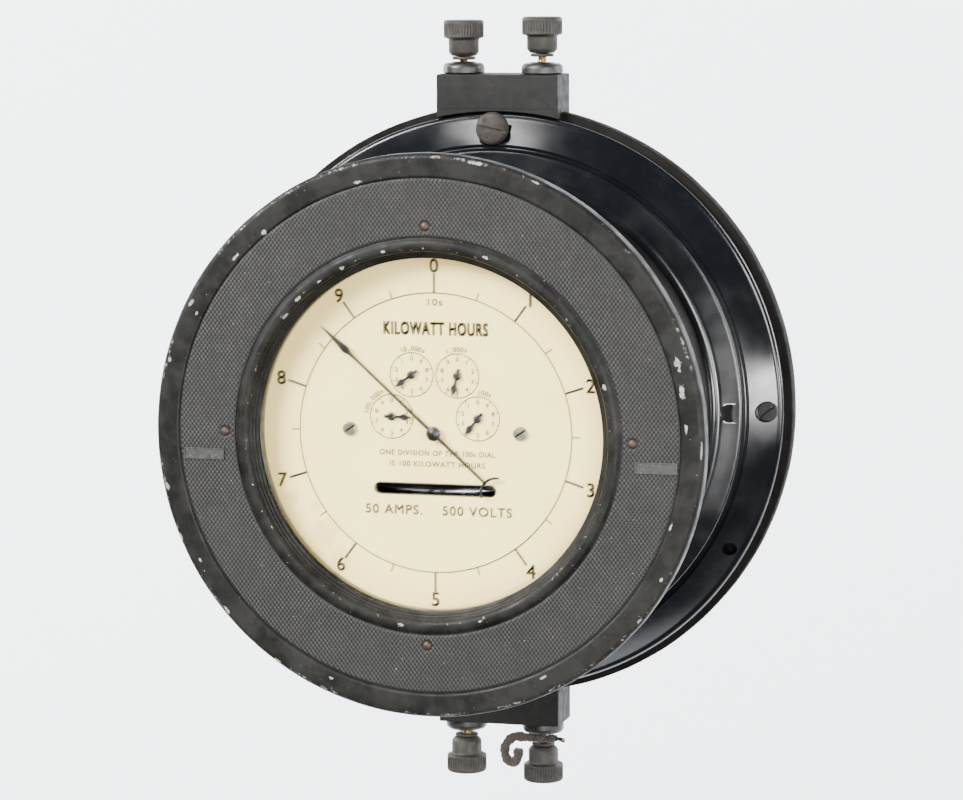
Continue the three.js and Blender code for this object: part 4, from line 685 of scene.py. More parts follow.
def layered(name, colour, second, pitch, axis, roughness, relief):
    """Stacked sheets or wound tape: bands one pitch wide along an axis, darker at each joint."""
    f = Finish(name)
    along = f.add("ShaderNodeSeparateXYZ", {0: f.place}).outputs["XYZ".index(axis)]
    wave = f.math("SINE", f.math("MULTIPLY", along, 2.0 * np.pi / (pitch * MM)))
    band = f.step(wave, -1.0, -0.2)
    tone = f.blend(band, second, colour)
    tone = f.blend(f.clouds(4.0, 0.5, 0.75, 0.0, 0.6, detail=5.0), tone, second)
    f.set(Base_Color=tone, Roughness=roughness)
    weave = f.math("ADD", band, f.math("MULTIPLY", f.noise(0.5, 2.0), 0.4))
    f.set(Normal=f.bump(weave, relief))
    return f.material


def dial_enamel():
    """Cream dial enamel: warm cloudy ageing, foxing at the lower left, and browner towards its edge, partly
    from ageing and partly as painted shade of the bezel.
    """
    settings = bpy.context.scene.meter_dial
    f = Finish("dial_enamel")
    tone = f.blend(f.clouds(26.0, 0.3, 0.75, 0.0, 0.5, detail=3.0), settings.enamel, (0.86, 0.67, 0.22))
    # Browner from 60 mm out to the edge: partly yellowed enamel, partly painted shade cast by the bezel.
    rim = f.step(f.axis_distance(), 60.0, 74.0, 0.0, 0.45)
    tone = f.blend(rim, tone, (0.7, 0.5, 0.18))
    stain_places = ((63.0, 222.0, 7.0), (66.0, 233.0, 5.0), (60.0, 212.0, 3.0), (67.0, 205.0, 3.5))
    stains = f.largest([f.flake(r, a, DIAL_FACE, s, s) for r, a, s in stain_places])
    tone = f.blend(f.math("MULTIPLY", stains, 0.32), tone, (0.45, 0.33, 0.18))
    specks = f.clouds(1.3, 0.75, 0.8, 0.0, 0.4, detail=2.0)
    f.set(Base_Color=f.blend(specks, tone, (0.4, 0.3, 0.17)), Specular_IOR_Level=0.35)
    f.set(Roughness=f.clouds(8.0, 0.3, 0.7, 0.42, 0.55))
    f.set(Normal=f.bump(f.noise(3.0, 3.0), 0.01))
    return f.material


def ink():
    """Faded printing ink, thinner in places."""
    settings = bpy.context.scene.meter_dial
    f = Finish("dial_ink")
    faded = f.clouds(2.0, 0.4, 0.8, 0.0, 0.4, detail=4.0)
    f.set(Base_Color=f.blend(faded, settings.ink, (0.04, 0.03, 0.018)))
    f.set(Roughness=0.6, Specular_IOR_Level=0.3)
    return f.material


def glass():
    """Flat window glass with faint wipe marks."""
    f = Finish("window_glass")
    f.set(Base_Color=(1.0, 1.0, 1.0, 1.0), Transmission_Weight=1.0, IOR=1.45, Alpha=0.1)
    f.set(Roughness=f.clouds(18.0, 0.4, 0.7, 0.0, 0.06, detail=3.0))
    return f.material


def old_cloth():
    """Old braided cotton: brown, darker in the hollows of a crossing weave that follows the wire, as painted
    shade between the strands, with frayed pale threads.
    """
    f = Finish("braid")
    weave = f.add("ShaderNodeAttribute", attribute_name="groove").outputs["Fac"]
    # Painted shade: the braid is darker where its surface lies deepest, between the strands.
    tone = f.blend(weave, (0.024, 0.0175, 0.0115), (0.006, 0.0045, 0.0035))
    fray = f.clouds(0.8, 0.58, 0.7, 0.0, 0.6, detail=4.0)
    f.set(Base_Color=f.blend(fray, tone, (0.055, 0.042, 0.027)), Roughness=0.92, Sheen_Weight=0.15)
    f.set(Normal=f.bump(f.noise(0.3, 3.0), 0.08))
    return f.material


# Plain finishes: two colours, roughness, size of the clouds, share of metal, relief and colour of the dirt.
PLAIN_FINISHES = {
    "label_paint": (
        (0.012, 0.0117, 0.0105), (0.022, 0.0215, 0.0195), 0.5, 1.6, 0.0, 0.03,
        (0.16, 0.158, 0.14),
    ),
    "ebonite": ((0.006, 0.0055, 0.005), (0.011, 0.0095, 0.008), 0.42, 4.0, 0.0, 0.02, None),
    "stud_brass": ((0.5, 0.36, 0.15), (0.3, 0.21, 0.1), 0.38, 1.5, 1.0, 0.02, (0.06, 0.045, 0.03)),
    "nut_brass": (
        (0.0145, 0.0118, 0.0083), (0.0085, 0.0072, 0.0055), 0.62, 2.5, 0.2, 0.05,
        (0.018, 0.0115, 0.006),
    ),
    "black_enamel": ((0.0045, 0.0045, 0.0045), (0.008, 0.008, 0.0075), 0.36, 4.0, 0.0, 0.01, None),
    "copper": ((0.055, 0.033, 0.023), (0.028, 0.018, 0.013), 0.55, 1.2, 0.6, 0.05, (0.012, 0.008, 0.006)),
    "bare_copper": ((0.11, 0.055, 0.03), (0.05, 0.03, 0.018), 0.5, 1.0, 0.8, 0.04, None),
    "rusty_steel": (
        (0.021, 0.0165, 0.012), (0.011, 0.0085, 0.0065), 0.75, 1.6, 0.2, 0.12,
        (0.036, 0.025, 0.016),
    ),
    "dark_screw": (
        (0.014, 0.0125, 0.0105), (0.009, 0.0075, 0.006), 0.5, 1.5, 0.3, 0.04,
        (0.03, 0.019, 0.012),
    ),
    "frame_iron": ((0.008, 0.008, 0.008), (0.014, 0.0135, 0.013), 0.55, 4.0, 0.1, 0.1, None),
    "register_brass": ((0.62, 0.47, 0.2), (0.5, 0.36, 0.15), 0.3, 6.0, 1.0, 0.01, (0.3, 0.2, 0.09)),
    "magnet_steel": ((0.045, 0.05, 0.055), (0.03, 0.033, 0.036), 0.35, 6.0, 0.6, 0.03, None),
    "spindle_steel": ((0.5, 0.5, 0.5), (0.4, 0.4, 0.4), 0.25, 3.0, 1.0, 0.02, None),
    "nickel": ((0.3, 0.29, 0.22), (0.2, 0.19, 0.14), 0.36, 2.0, 0.85, 0.02, (0.1, 0.09, 0.06)),
}
# Layered finishes: two colours, pitch of the layers, axis they lie along, roughness and relief.
LAYERED_FINISHES = {
    "laminations": ((0.16, 0.16, 0.165), (0.05, 0.045, 0.04), 0.8, "Y", 0.5, 0.15),
    "coil_cotton": ((0.19, 0.115, 0.055), (0.08, 0.045, 0.022), 3.2, "Z", 0.6, 0.3),
}
OWN_FINISHES = (
    ring_paint, field_paint, japan, drum_paint, case_paint, block_paint, dial_enamel, ink, glass, old_cloth,
    disc_aluminium,
)
finishes = {}


def make_finishes():
    """Makes every finish and keeps it under its slot's name."""
    for name, values in PLAIN_FINISHES.items():
        finishes[name] = plain_metal(name, *values)
    for name, values in LAYERED_FINISHES.items():
        finishes[name] = layered(name, *values)
    for make in OWN_FINISHES:
        finishes[make.__name__] = make()


def set_piece(piece, body, slot, finish=None, nodes=()):
    """Gives a piece the finish named for its slot, or another named finish, sets it on its body and hides the
    frame nodes it stands for.
    """
    piece.data.materials.append(finishes[finish or slot])
    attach(piece, body)
    if nodes:
        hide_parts(*nodes)
    return piece


def add_piece(name, surface, body, slot, finish=None, nodes=(), smooth_angle=35.0, merge=False):
    """Makes a piece of vertices and faces and sets it up."""
    return set_piece(mesh_object(name, *surface, smooth_angle, merge), body, slot, finish, nodes)


def finish_node(node, slot):
    """Gives a frame node one finish, in its own material slots."""
    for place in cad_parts[node].material_slots:
        place.material = finishes[slot]


def point_attribute(piece, name, values):
    """Stores one number for each vertex of a piece."""
    attribute = piece.data.attributes.new(name, "FLOAT", "POINT")
    attribute.data.foreach_set("value", np.asarray(values, np.float32).ravel())


def bevelled_copy(node, name, width, body, slot, segments=2):
    """A merged copy of a frame node with its sharp edges rounded."""
    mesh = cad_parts[node].data.copy()
    mesh.name = name
    mesh.materials.clear()
    work = bmesh.new()
    work.from_mesh(mesh)
    bmesh.ops.remove_doubles(work, verts=work.verts, dist=1e-6)
    bmesh.ops.dissolve_limit(work, angle_limit=np.radians(1.0), verts=work.verts, edges=work.edges)
    work.to_mesh(mesh)
    work.free()
    mesh.polygons.foreach_set("use_smooth", np.zeros(len(mesh.polygons), bool))
    piece = bpy.data.objects.new(name, mesh)
    bpy.context.scene.collection.objects.link(piece)
    bevel = piece.modifiers.new("edges", "BEVEL")
    bevel.width = width * MM
    bevel.segments = segments
    bevel.limit_method = "ANGLE"
    bevel.angle_limit = np.radians(40.0)
    bevel.harden_normals = False
    return set_piece(piece, body, slot, nodes=[node])


# ---------------------------------------------------------------- pieces


class METER_OT_finishes(bpy.types.Operator):
    """Makes the finishes that all pieces share"""

    bl_idname = "meter.finishes"
    bl_label = "Finishes"

    def execute(self, context):
        make_finishes()
        return {"FINISHED"}


class METER_OT_case(bpy.types.Operator):
    """Builds the back case and the two terminal blocks"""

    bl_idname = "meter.case"
    bl_label = "Case and Blocks"

    def execute(self, context):
        edge_round = 9.0
        lip = CASE_RADIUS - 16.0
        floor = -4.0
        profile = [(0.0, 0.0), (60.0, 0.0), (110.0, 0.0)]
        profile += arc_profile(CASE_RADIUS - edge_round, -edge_round, edge_round, 90.0, 0.0, 10)
        profile += shifted([(0.0, 1.0), (-0.3, 0.3), (-1.0, 0.0)], CASE_RADIUS, CASE_FRONT)
        profile += [(lip, CASE_FRONT), (lip, floor), (60.0, floor), (0.0, floor)]

        def uneven(radius, y, turn):
            """The edge drifts in and out by a tenth of a millimetre in slow waves round the case."""
            wave = np.sin(7 * turn) + 0.7 * np.sin(17 * turn + 1.0) + 0.5 * np.sin(41 * turn)
            return radius - 0.06 * (wave + 2.2) * (radius > 112.0), y

        piece = turned("case_shell", profile, 288, uneven)
        notches = []
        low, high = box("top_terminal_block")
        half = high.x + 0.3
        foot = low.z - 0.3
        for side in (1.0, -1.0):
            z0, z1 = sorted((side * foot, side * (CASE_RADIUS + 5.0)))
            corners = [(-half, z0), (half, z0), (half, z1), (-half, z1)]
            notches.append(prism(corners, CASE_FRONT - 5.0, 5.0))
        cut_away(piece, notches)
        set_piece(piece, "base", "case_paint", nodes=["back_case"])
        for end, side in (("top", 1.0), ("bottom", -1.0)):
            bevelled_copy(f"{end}_terminal_block", f"{end}_block", 0.7, "base", "block_paint", 3)
            self.apron(end, side)
        return {"FINISHED"}

    def apron(self, end, side):
        """The lower edge of a block's face, curved to follow the rim of the cover just clear of it."""
        low, high = box("top_terminal_block")
        half = high.x - 0.1
        x = np.linspace(-half, half, 25)
        edge = np.sqrt((SKIRT_RADIUS + 0.6) ** 2 - x**2)
        upper = side * (CASE_RADIUS + 0.4)
        outline = [(u, side * w) for u, w in zip(x, edge)] + [(half, upper), (-half, upper)]
        surface = prism(outline, low.y + 0.05, CASE_FRONT - 0.3, 0.3)
        add_piece(f"{end}_block_apron", surface, "base", "block_paint")


class METER_OT_posts(bpy.types.Operator):
    """Builds the collars, threaded studs, clamp feet and knurled thumb nuts of the four binding posts"""

    bl_idname = "meter.posts"
    bl_label = "Binding Posts"

    def execute(self, context):
        for name in POSTS:
            up = 1.0 if name.startswith("top") else -1.0
            low, high = box(f"post_bushing_{name}")
            collar_end = self.near_and_far(f"post_bushing_{name}", up, 0.0)[1]
            face = up * (collar_end - COLLAR_HEIGHT)
            origin = ((low.x + high.x) / 2, (low.y + high.y) / 2, face)
            self.collar(name, origin, up)
            self.stud(name, origin, up)
            self.foot(name, origin, up)
            self.nut(name, origin, up, context.scene.meter_cover.knurls)
        return {"FINISHED"}

    def near_and_far(self, node, up, face):
        """How far the near and far ends of a node stand above a face, along the way the post points."""
        low, high = box(node)
        near, far = (low.z, high.z) if up > 0 else (high.z, low.z)
        return (near - face) * up, (far - face) * up

    def collar(self, name, origin, up):
        """A moulded collar: straight skirt, full round edge, shallow dished top up to the boss."""
        profile = [(2.2, -12.0), (4.2, -12.0), (4.2, 0.3), (8.6, 0.3), (8.9, 0.6), (8.9, 2.4)]
        profile += arc_profile(6.8, 2.5, 2.1, 0.0, 90.0, 8)[1:]
        profile += [(6.0, 4.5), (5.6, 4.62), (5.2, 4.9), (4.9, COLLAR_HEIGHT), (2.3, COLLAR_HEIGHT)]
        surface = closed_grid(upright_points(profile, 72, origin, up))
        add_piece(f"collar_{name}", surface, "base", "ebonite", nodes=[f"post_bushing_{name}"])

    def stud(self, name, origin, up):
        """A threaded stud: the radius swings with height minus one pitch a turn, as a rounded V thread."""
        start, end = self.near_and_far(f"post_stud_{name}", up, origin[2])
        heights = np.concatenate([[start, start], np.arange(start + 0.1, end - 0.1, 0.14), [end, end]])

        def thread(radius, height, turn):
            swing = np.abs(((height - turn / (2 * np.pi)) % 1.0) - 0.5) * 2.0
            shaped = radius - 0.34 * (1.0 - np.clip(swing * 1.3, 0.0, 1.0))
            shaped[:, [0, -1]] = 0.0
            return shaped, height

        points = upright_points([(1.9, h) for h in heights], 28, origin, up, thread)
        add_piece(
            f"stud_{name}", closed_grid(points, False), "base", "stud_brass", nodes=[f"post_stud_{name}"],
            smooth_angle=50.0, merge=True,
        )

    def foot(self, name, origin, up):
        """A clamp washer with chamfered edges."""
        floor = self.near_and_far(f"clamp_foot_{name}", up, origin[2])[0]
        bore, thickness = 2.2, 1.3
        profile = [
            (bore, 0.0), (4.5, 0.0), (4.85, 0.15), (5.0, 0.4), (5.0, 0.95), (4.85, 1.2), (4.6, thickness),
            (bore, thickness),
        ]
        surface = closed_grid(upright_points(shifted(profile, 0.0, floor), 48, origin, up))
        add_piece(f"foot_{name}", surface, f"foot_{name}", "nut_brass", nodes=[f"clamp_foot_{name}"])

    def nut(self, name, origin, up, knurls):
        """A thumb nut: tapered foot, plain neck, hollow fillet, then a knob cut by upright grooves,
        whose depth is a triangle wave of the angle that eases off at the ends of the band."""
        floor = self.near_and_far(f"thumb_nut_{name}", up, origin[2])[0]
        band_start, band_end, top = 8.2, 14.0, 15.3
        neck = [
            (2.2, 0.0), (5.0, 0.0), (5.4, 0.25), (6.3, 1.35), (6.5, 1.8), (6.5, 6.6), (6.6, 7.1), (7.0, 7.45),
            (7.6, 7.6), (8.1, 7.7), (8.45, 7.95),
        ]
        band = [(8.6, h) for h in np.linspace(band_start, band_end, 8)]
        cap = arc_profile(7.4, 14.1, 1.2, 0.0, 90.0, 6)[1:]
        inside = [(6.4, 15.26), (5.9, top), (3.0, top), (0.0, top), (0.0, top - 2.0), (2.2, top - 2.0)]
        part = slice(len(neck), len(neck) + len(band))

        def cut(radius, height, turn):
            shaped = radius.copy()
            ridge = np.abs((turn[:, part] * knurls / (2 * np.pi) % 1.0) - 0.5) * 2.0
            within = height[:, part] - floor
            ease = np.clip(np.minimum(within - band_start, band_end - within) / 0.4, 0, 1)
            shaped[:, part] -= 0.34 * ease * (1.0 - ridge)
            return shaped, height

        profile = shifted(neck + band + cap + inside, 0.0, floor)
        surface = closed_grid(upright_points(profile, 6 * knurls, origin, up, cut))
        add_piece(
            f"nut_{name}", surface, f"nut_{name}", "nut_brass", nodes=[f"thumb_nut_{name}"],
            smooth_angle=40.0, merge=True,
        )


class METER_OT_wire(bpy.types.Operator):
    """Builds the stiff end of old cloth-covered wire under the bottom right nut"""

    bl_idname = "meter.wire"
    bl_label = "Wire End"

    def execute(self, context):
        low, high = box("post_bushing_bottom_right")
        stud = np.array([(low.x + high.x) / 2, (low.y + high.y) / 2, low.z - 2.0])
        bend = [(3.9 * np.cos(a), -3.9 * np.sin(a), 0.0) for a in np.radians([140.0, 90.0, 40.0])]
        covered = [
            (-9.4, -7.6, -4.6), (-9.8, -6.6, -8.2), (-12.6, -5.6, -11.0), (-15.6, -5.2, -8.6),
            (-15.8, -4.6, -3.6), (-12.4, -3.4, 0.0), (-7.4, -2.6, 0.0), *bend, (6.6, -1.6, 0.0),
        ]
        self.braid(through(np.array(covered) + stud, 26))
        self.strands(np.array([(6.0, -1.7, 0.0), (8.2, -2.2, -0.2), (10.2, -3.0, -0.6)]) + stud)
        return {"FINISHED"}

    def braid(self, route):
        """The cloth: two sets of strands wind opposite ways; where they cross over, the radius rises. The
        groove attribute is 1 where the surface lies deepest."""
        outer = 1.62

        def crossing(size, along, angle):
            one = np.sin(4 * angle + along * 3.4)
            two = np.sin(4 * angle - along * 3.4)
            worn = 1.0 + 0.32 * np.clip((34.0 - along) / 8.0, 0.0, 1.0) + 0.12 * np.sin(along * 1.3)
            return size * worn * (0.88 + 0.12 * np.maximum(one, two))

        piece = mesh_object("wire_braid", *tube(route, outer, 32, crossing), 60.0, merge=True)
        co = np.zeros(len(piece.data.vertices) * 3)
        piece.data.vertices.foreach_get("co", co)
        gap = co.reshape(-1, 1, 3) / MM - route[None, ::4]
        off = np.sqrt((gap**2).sum(-1)).min(1)
        point_attribute(piece, "groove", np.clip((outer - off) / 0.25, 0.0, 1.0))
        set_piece(piece, "base", "old_cloth", nodes=["wire_remnant"])

    def strands(self, ends):
        """Five bare strands that fan out along a quadratic curve while they turn about it."""
        share = np.linspace(0.0, 1.0, 12)[:, None]
        middle = ends[0] * (1 - share) ** 2 + 2 * ends[1] * share * (1 - share) + ends[2] * share**2
        strands = []
        for angle in 2 * np.pi * np.arange(5) / 5:
            swing = angle + 2.4 * share
            aside = np.concatenate([0 * swing, np.cos(swing), np.sin(swing)], 1)
            strands.append(tube(middle + (0.45 + 0.35 * share) * aside, 0.3, 8))
        add_piece("wire_strands", joined(strands), "base", "old_cloth", finish="bare_copper", merge=True)


class METER_OT_cover(bpy.types.Operator):
    """Builds the drum and the pressed skirt of the cover"""

    bl_idname = "meter.cover"
    bl_label = "Cover"

    def execute(self, context):
        seat = OPENING + 8.0
        inner = DRUM_RADIUS - 2.2
        foot = SHOULDER_FACE - 3.75
        middle = -70.0
        lid = DRUM_FRONT + 2.2
        corner = DRUM_FRONT + 3.0
        profile = [
            (DRUM_RADIUS, foot), (DRUM_RADIUS, foot - 8.25), (DRUM_RADIUS, middle), (DRUM_RADIUS, corner),
            (DRUM_RADIUS - 0.2, DRUM_FRONT + 0.5), (DRUM_RADIUS - 0.7, DRUM_FRONT),
            (seat + 0.4, DRUM_FRONT), (seat, DRUM_FRONT + 0.4), (seat, lid), (inner - 0.8, lid),
            (inner, corner), (inner, middle), (inner, foot),
        ]
        drum = turned("drum_shell", profile, 320)
        set_piece(drum, "cover", "drum_paint", nodes=["cover_drum"])
        skirt = self.skirt()
        cut_away(skirt, self.sinkings())
        set_piece(skirt, "cover", "japan", nodes=["cover_skirt"])
        return {"FINISHED"}

    def sinkings(self):
        """Round cutters for the empty hole, the flat under each clamp screw and the two sunk screw heads."""
        spot = box("flange_screw")[0].y + 0.15
        deep = SHOULDER_FACE - 8.0
        screws = {node: (box(node)[0].x + box(node)[1].x) / 2 for node in ("flange_screw", "shoulder_screw")}
        sinkings = (
            (2.9, 2.0, on_circle(CLAMP_CIRCLE, -30.0), 32),
            (7.4, spot, on_circle(CLAMP_CIRCLE, 90.0), 48),
            (7.4, spot, on_circle(CLAMP_CIRCLE, 210.0), 48),
            (4.5, spot, (screws["flange_screw"], 0.0), 48),
            (3.9, SHOULDER_FACE + 0.9, (screws["shoulder_screw"], 0.0), 48),
        )
        return [
            shank([(0.0, deep), (radius, deep), (radius, floor), (0.0, floor)], place, steps)
            for radius, floor, place, steps in sinkings
        ]

    def skirt(self):
        """Hollow fillet, flat shoulder with a rounded edge, sunk riser, swelling flange and rolled rim."""
        face = SHOULDER_FACE
        shoulder = SKIRT_RADIUS - 15.3
        flange = SKIRT_RADIUS - 12.7
        rim = SKIRT_RADIUS - 2.4
        rim_y = SKIRT_BACK - 3.3
        outer = arc_profile(DRUM_RADIUS + 4.0, face - 4.0, 4.0, 176.0, 90.0, 10)
        outer += [(DRUM_RADIUS + 5.0, face + 0.04), (shoulder - 1.6, face + 1.3)]
        outer += arc_profile(shoulder - 1.0, face + 2.25, 1.0, -78.0, -8.0, 6)
        outer += [(shoulder + 0.3, face + 3.2), (shoulder + 0.8, face + 4.2), (shoulder + 1.3, face + 4.5)]
        outer += [(shoulder + 1.8, face + 4.35), (flange - 0.35, face + 4.05)]
        share = np.linspace(0.0, 1.0, 12)
        slope_r = flange + share * (rim + 0.5 - flange)
        slope_y = face + 4.0 + share * (rim_y - 2.4 - face - 4.0) - 0.15 * np.sin(np.pi * share)
        outer += list(zip(slope_r, slope_y))
        outer += arc_profile(rim, rim_y, 2.4, -68.0, 20.0, 10)
        outer += [(SKIRT_RADIUS - 0.5, SKIRT_BACK - 0.9), (SKIRT_RADIUS - 1.4, SKIRT_BACK)]
        inner = [
            (flange + 3.0, SKIRT_BACK), (shoulder - 1.1, face + 2.2), (DRUM_RADIUS + 4.0, face + 2.2),
        ]
        inner += arc_profile(DRUM_RADIUS + 4.0, face - 4.0, 6.2, 100.0, 176.0, 5)
        points = turned_points(outer + inner, 448)
        vertices, faces = closed_grid(points)
        return mesh_object("skirt_pressing", vertices, faces, 32.0)


class METER_OT_ring(bpy.types.Operator):
    """Builds the cast front ring, its diamond field, its blank label frames and its pins"""

    bl_idname = "meter.ring"
    bl_label = "Front Ring"

    def execute(self, context):
        face = RING_FACE
        seat = GLASS_FACE - 0.3
        back_radius = OPENING + 6.0
        bezel = [
            (0.0, 5.0), (0.25, 4.75), (0.8, 4.6), (0.95, 4.4), (0.95, 3.75), (1.2, 3.5), (1.75, 3.35),
            (1.9, 3.15), (1.9, 2.55), (2.15, 2.3), (2.6, 2.15), (2.8, 1.9), (2.8, 1.4), (3.1, 0.8),
            (3.7, 0.3), (4.6, 0.04), (5.6, 0.0), (6.6, 0.12), (7.4, 0.45), (7.9, 0.95),
        ]
        inner_wall = [(0.1, 1.25), (0.6, 1.2)]
        outer_wall = [(-0.6, 1.2), (-0.1, 1.1), (0.25, 0.5), (0.7, 0.16), (1.3, 0.1)]
        corner = 2.2
        profile = [(OPENING, seat)] + shifted(bezel, OPENING, face) + shifted(inner_wall, FIELD_INNER, face)
        profile += shifted(outer_wall, RIM_INNER, face)
        profile += shifted([(-5.0, 0.0), (-3.2, 0.0)], RING_RADIUS, face)
        profile += arc_profile(RING_RADIUS - corner, face + corner, corner, -90.0, 0.0, 8)
        profile += shifted([(0.0, -0.8), (-0.3, -0.25), (-0.8, 0.0)], RING_RADIUS, RING_BACK)
        profile += [(back_radius, RING_BACK), (back_radius, seat)]

        def hammered(radius, y, turn):
            """The cast rims rise and fall by a few hundredths of a millimetre in slow waves."""
            wave = np.sin(23 * turn + radius * 0.7) + np.sin(61 * turn) * 0.5
            return radius + 0.03 * wave * (radius > RIM_INNER), y + 0.02 * (wave + 1.5)

        ring = turned("ring_casting", profile, 400, hammered)
        set_piece(ring, "cover", "ring_paint", nodes=["front_ring"])
        for name, start in (("upper", 0.0), ("lower", 180.0)):
            self.field(context, name, start)
        self.labels()
        dome = [(0.0, 0.1), (0.7, 0.16), (1.3, 0.36), (1.75, 0.7), (1.95, 1.1), (2.0, 1.4)]
        pin = shifted(dome, 0.0, face) + [(2.0, DRUM_FRONT + 2.2), (0.0, DRUM_FRONT + 2.2)]
        for number, degrees in enumerate(PIN_ANGLES, 1):
            surface = shank(pin, on_circle(PIN_CIRCLE, degrees), 28)
            add_piece(f"pin_{number}", surface, "cover", "copper", nodes=[f"ring_pin_{number}"], merge=True)
        return {"FINISHED"}

    def field(self, context, name, start):
        """Half of the sunk field. Its height is half of one plus the product of two cosines, one of x over
        the stipple width and one of z over the row height, so that peaks stand like bricks."""
        settings = context.scene.meter_ring
        radius = np.linspace(FIELD_INNER + 0.15, RIM_INNER - 0.15, 74)
        angle = np.radians(np.linspace(start, start + 180.0, 900))
        r, turn = np.meshgrid(radius, angle)
        x, z = r * np.cos(turn), r * np.sin(turn)
        wide = settings.stipple_width / MM
        tall = settings.stipple_height / MM
        peak = 0.5 + 0.5 * np.cos(2 * np.pi * x / wide) * np.cos(2 * np.pi * z / tall)
        peak = np.clip(peak * 1.25, 0.0, 1.0)
        margin = np.clip(np.minimum(r - FIELD_INNER - 0.3, RIM_INNER - 0.3 - r) / 0.7, 0.0, 1.0)
        for degrees in PIN_ANGLES:
            px, pz = on_circle(PIN_CIRCLE, degrees)
            margin = np.minimum(margin, np.clip((np.hypot(x - px, z - pz) - 2.1) / 0.5, 0.0, 1.0))
        relief = peak * margin
        y = RING_FACE + 0.86 - settings.stipple_depth / MM * relief
        points = np.pad(np.stack([x, y, z], -1), ((0, 0), (1, 1), (0, 0)), "edge")
        points[:, [0, -1], 1] = RING_FACE + 2.0
        vertices, faces = closed_grid(points, False)
        columns = points.shape[1]
        ends = [list(range(columns)), list(range(len(vertices) - columns, len(vertices)))]
        forward = faces[0][1] == faces[0][0] + 1
        ends[0 if forward else 1].reverse()
        piece = mesh_object(f"field_{name}", vertices, faces.tolist() + ends, 60.0)
        point_attribute(piece, "groove", np.pad(1.0 - relief, ((0, 0), (1, 1))))
        set_piece(piece, "cover", "ring_paint", finish="field_paint")

    def labels(self):
        """Two blank label frames: a thin raised border round a plain sunk panel."""
        front, back = RING_FACE + 0.1, RING_FACE + 1.0
        half, tall, border, z = 8.6, 2.3, 0.45, -9.3
        for name, x in (("right", 94.6), ("left", -94.0)):
            outer = [(x - half, z - tall), (x + half, z - tall), (x + half, z + tall), (x - half, z + tall)]
            parts = [prism(outer, front + 0.28, RING_FACE + 1.6, 0.1)]
            for side in (-1.0, 1.0):
                level = z + side * (tall - border / 2)
                parts.append(bar(x, level, 2 * half, border, 0.0, front, back))
                upright = x + side * (half - border / 2)
                parts.append(bar(upright, z, 2 * (tall - border), border, 90.0, front, back))
            add_piece(f"label_frame_{name}", joined(parts), "cover", "ring_paint", finish="label_paint")


class METER_OT_glass(bpy.types.Operator):
    """Builds the window glass and the ring that holds it"""

    bl_idname = "meter.glass"
    bl_label = "Glass"

    def execute(self, context):
        low, high = box("front_glass")
        edge = 0.4
        half = [(0.0, low.y), (40.0, low.y), (high.x - edge, low.y), (high.x, low.y + edge)]
        profile = half + [(r, low.y + high.y - y) for r, y in reversed(half)]
        set_piece(turned("window", profile, 192), "cover", "glass", nodes=["front_glass"])
        low, high = box("glass_retaining_ring")
        profile = shifted([(0.0, 0.5), (0.5, 0.0)], OPENING, low.y)
        profile += shifted([(-0.3, 0.0), (0.0, 0.3)], high.x, low.y)
        profile += shifted([(0.0, -2.0), (-0.6, -1.2), (-2.0, 0.0)], high.x, high.y)
        profile += shifted([(1.0, 0.0), (0.3, -0.3), (0.0, -1.0)], OPENING, high.y)
        holder = turned("glass_holder", profile, 256)
        set_piece(holder, "cover", "black_enamel", nodes=["glass_retaining_ring"])
        return {"FINISHED"}


class METER_OT_screws(bpy.types.Operator):
    """Builds the clamp screws and the flush screws of the cover"""

    bl_idname = "meter.screws"
    bl_label = "Cover Screws"

    def execute(self, context):
        for name, degrees in (("top", 90.0), ("lower_left", 210.0)):
            self.clamp(name, on_circle(CLAMP_CIRCLE, degrees))
        self.sunk("flange_screw", 4.3, 40.0, 8.0)
        self.sunk("shoulder_screw", 3.7, -40.0, 3.0)
        return {"FINISHED"}

    def clamp(self, name, centre):
        """A clamp screw: a domed head on a body that steps down where it passes the skirt."""
        low, high = box(f"clamp_screw_{name}")
        head = slotted_head(low.y, low.y + 4.4, 7.0, 1.9, 0.62, 1.1, -12.0, centre, crown=0.5)
        spot = -24.8
        body = [
            (0.0, low.y + 4.0), (4.6, low.y + 4.0), (4.6, spot), (2.6, spot + 0.2), (2.6, high.y - 0.6),
            (2.1, high.y), (0.0, high.y),
        ]
        surface = joined([head, shank(body, centre)])
        add_piece(f"clamp_{name}", surface, "cover", "rusty_steel", nodes=[f"clamp_screw_{name}"], merge=True)

    def sunk(self, node, radius, slot_degrees, depth):
        """A screw in a sinking: its slotted head stands a tenth of a millimetre before its frame node."""
        low, high = box(node)
        centre = ((low.x + high.x) / 2, 0.0)
        deep = low.y + depth
        head = slotted_head(low.y - 0.1, deep, radius, 0.35, 0.5, 0.9, slot_degrees, centre)
        body = [(0.0, deep - 0.3), (1.8, deep - 0.3), (1.8, high.y), (0.0, high.y)]
        surface = joined([head, shank(body, centre)])
        add_piece(f"{node}_head", surface, "cover", "dark_screw", nodes=[node], merge=True)


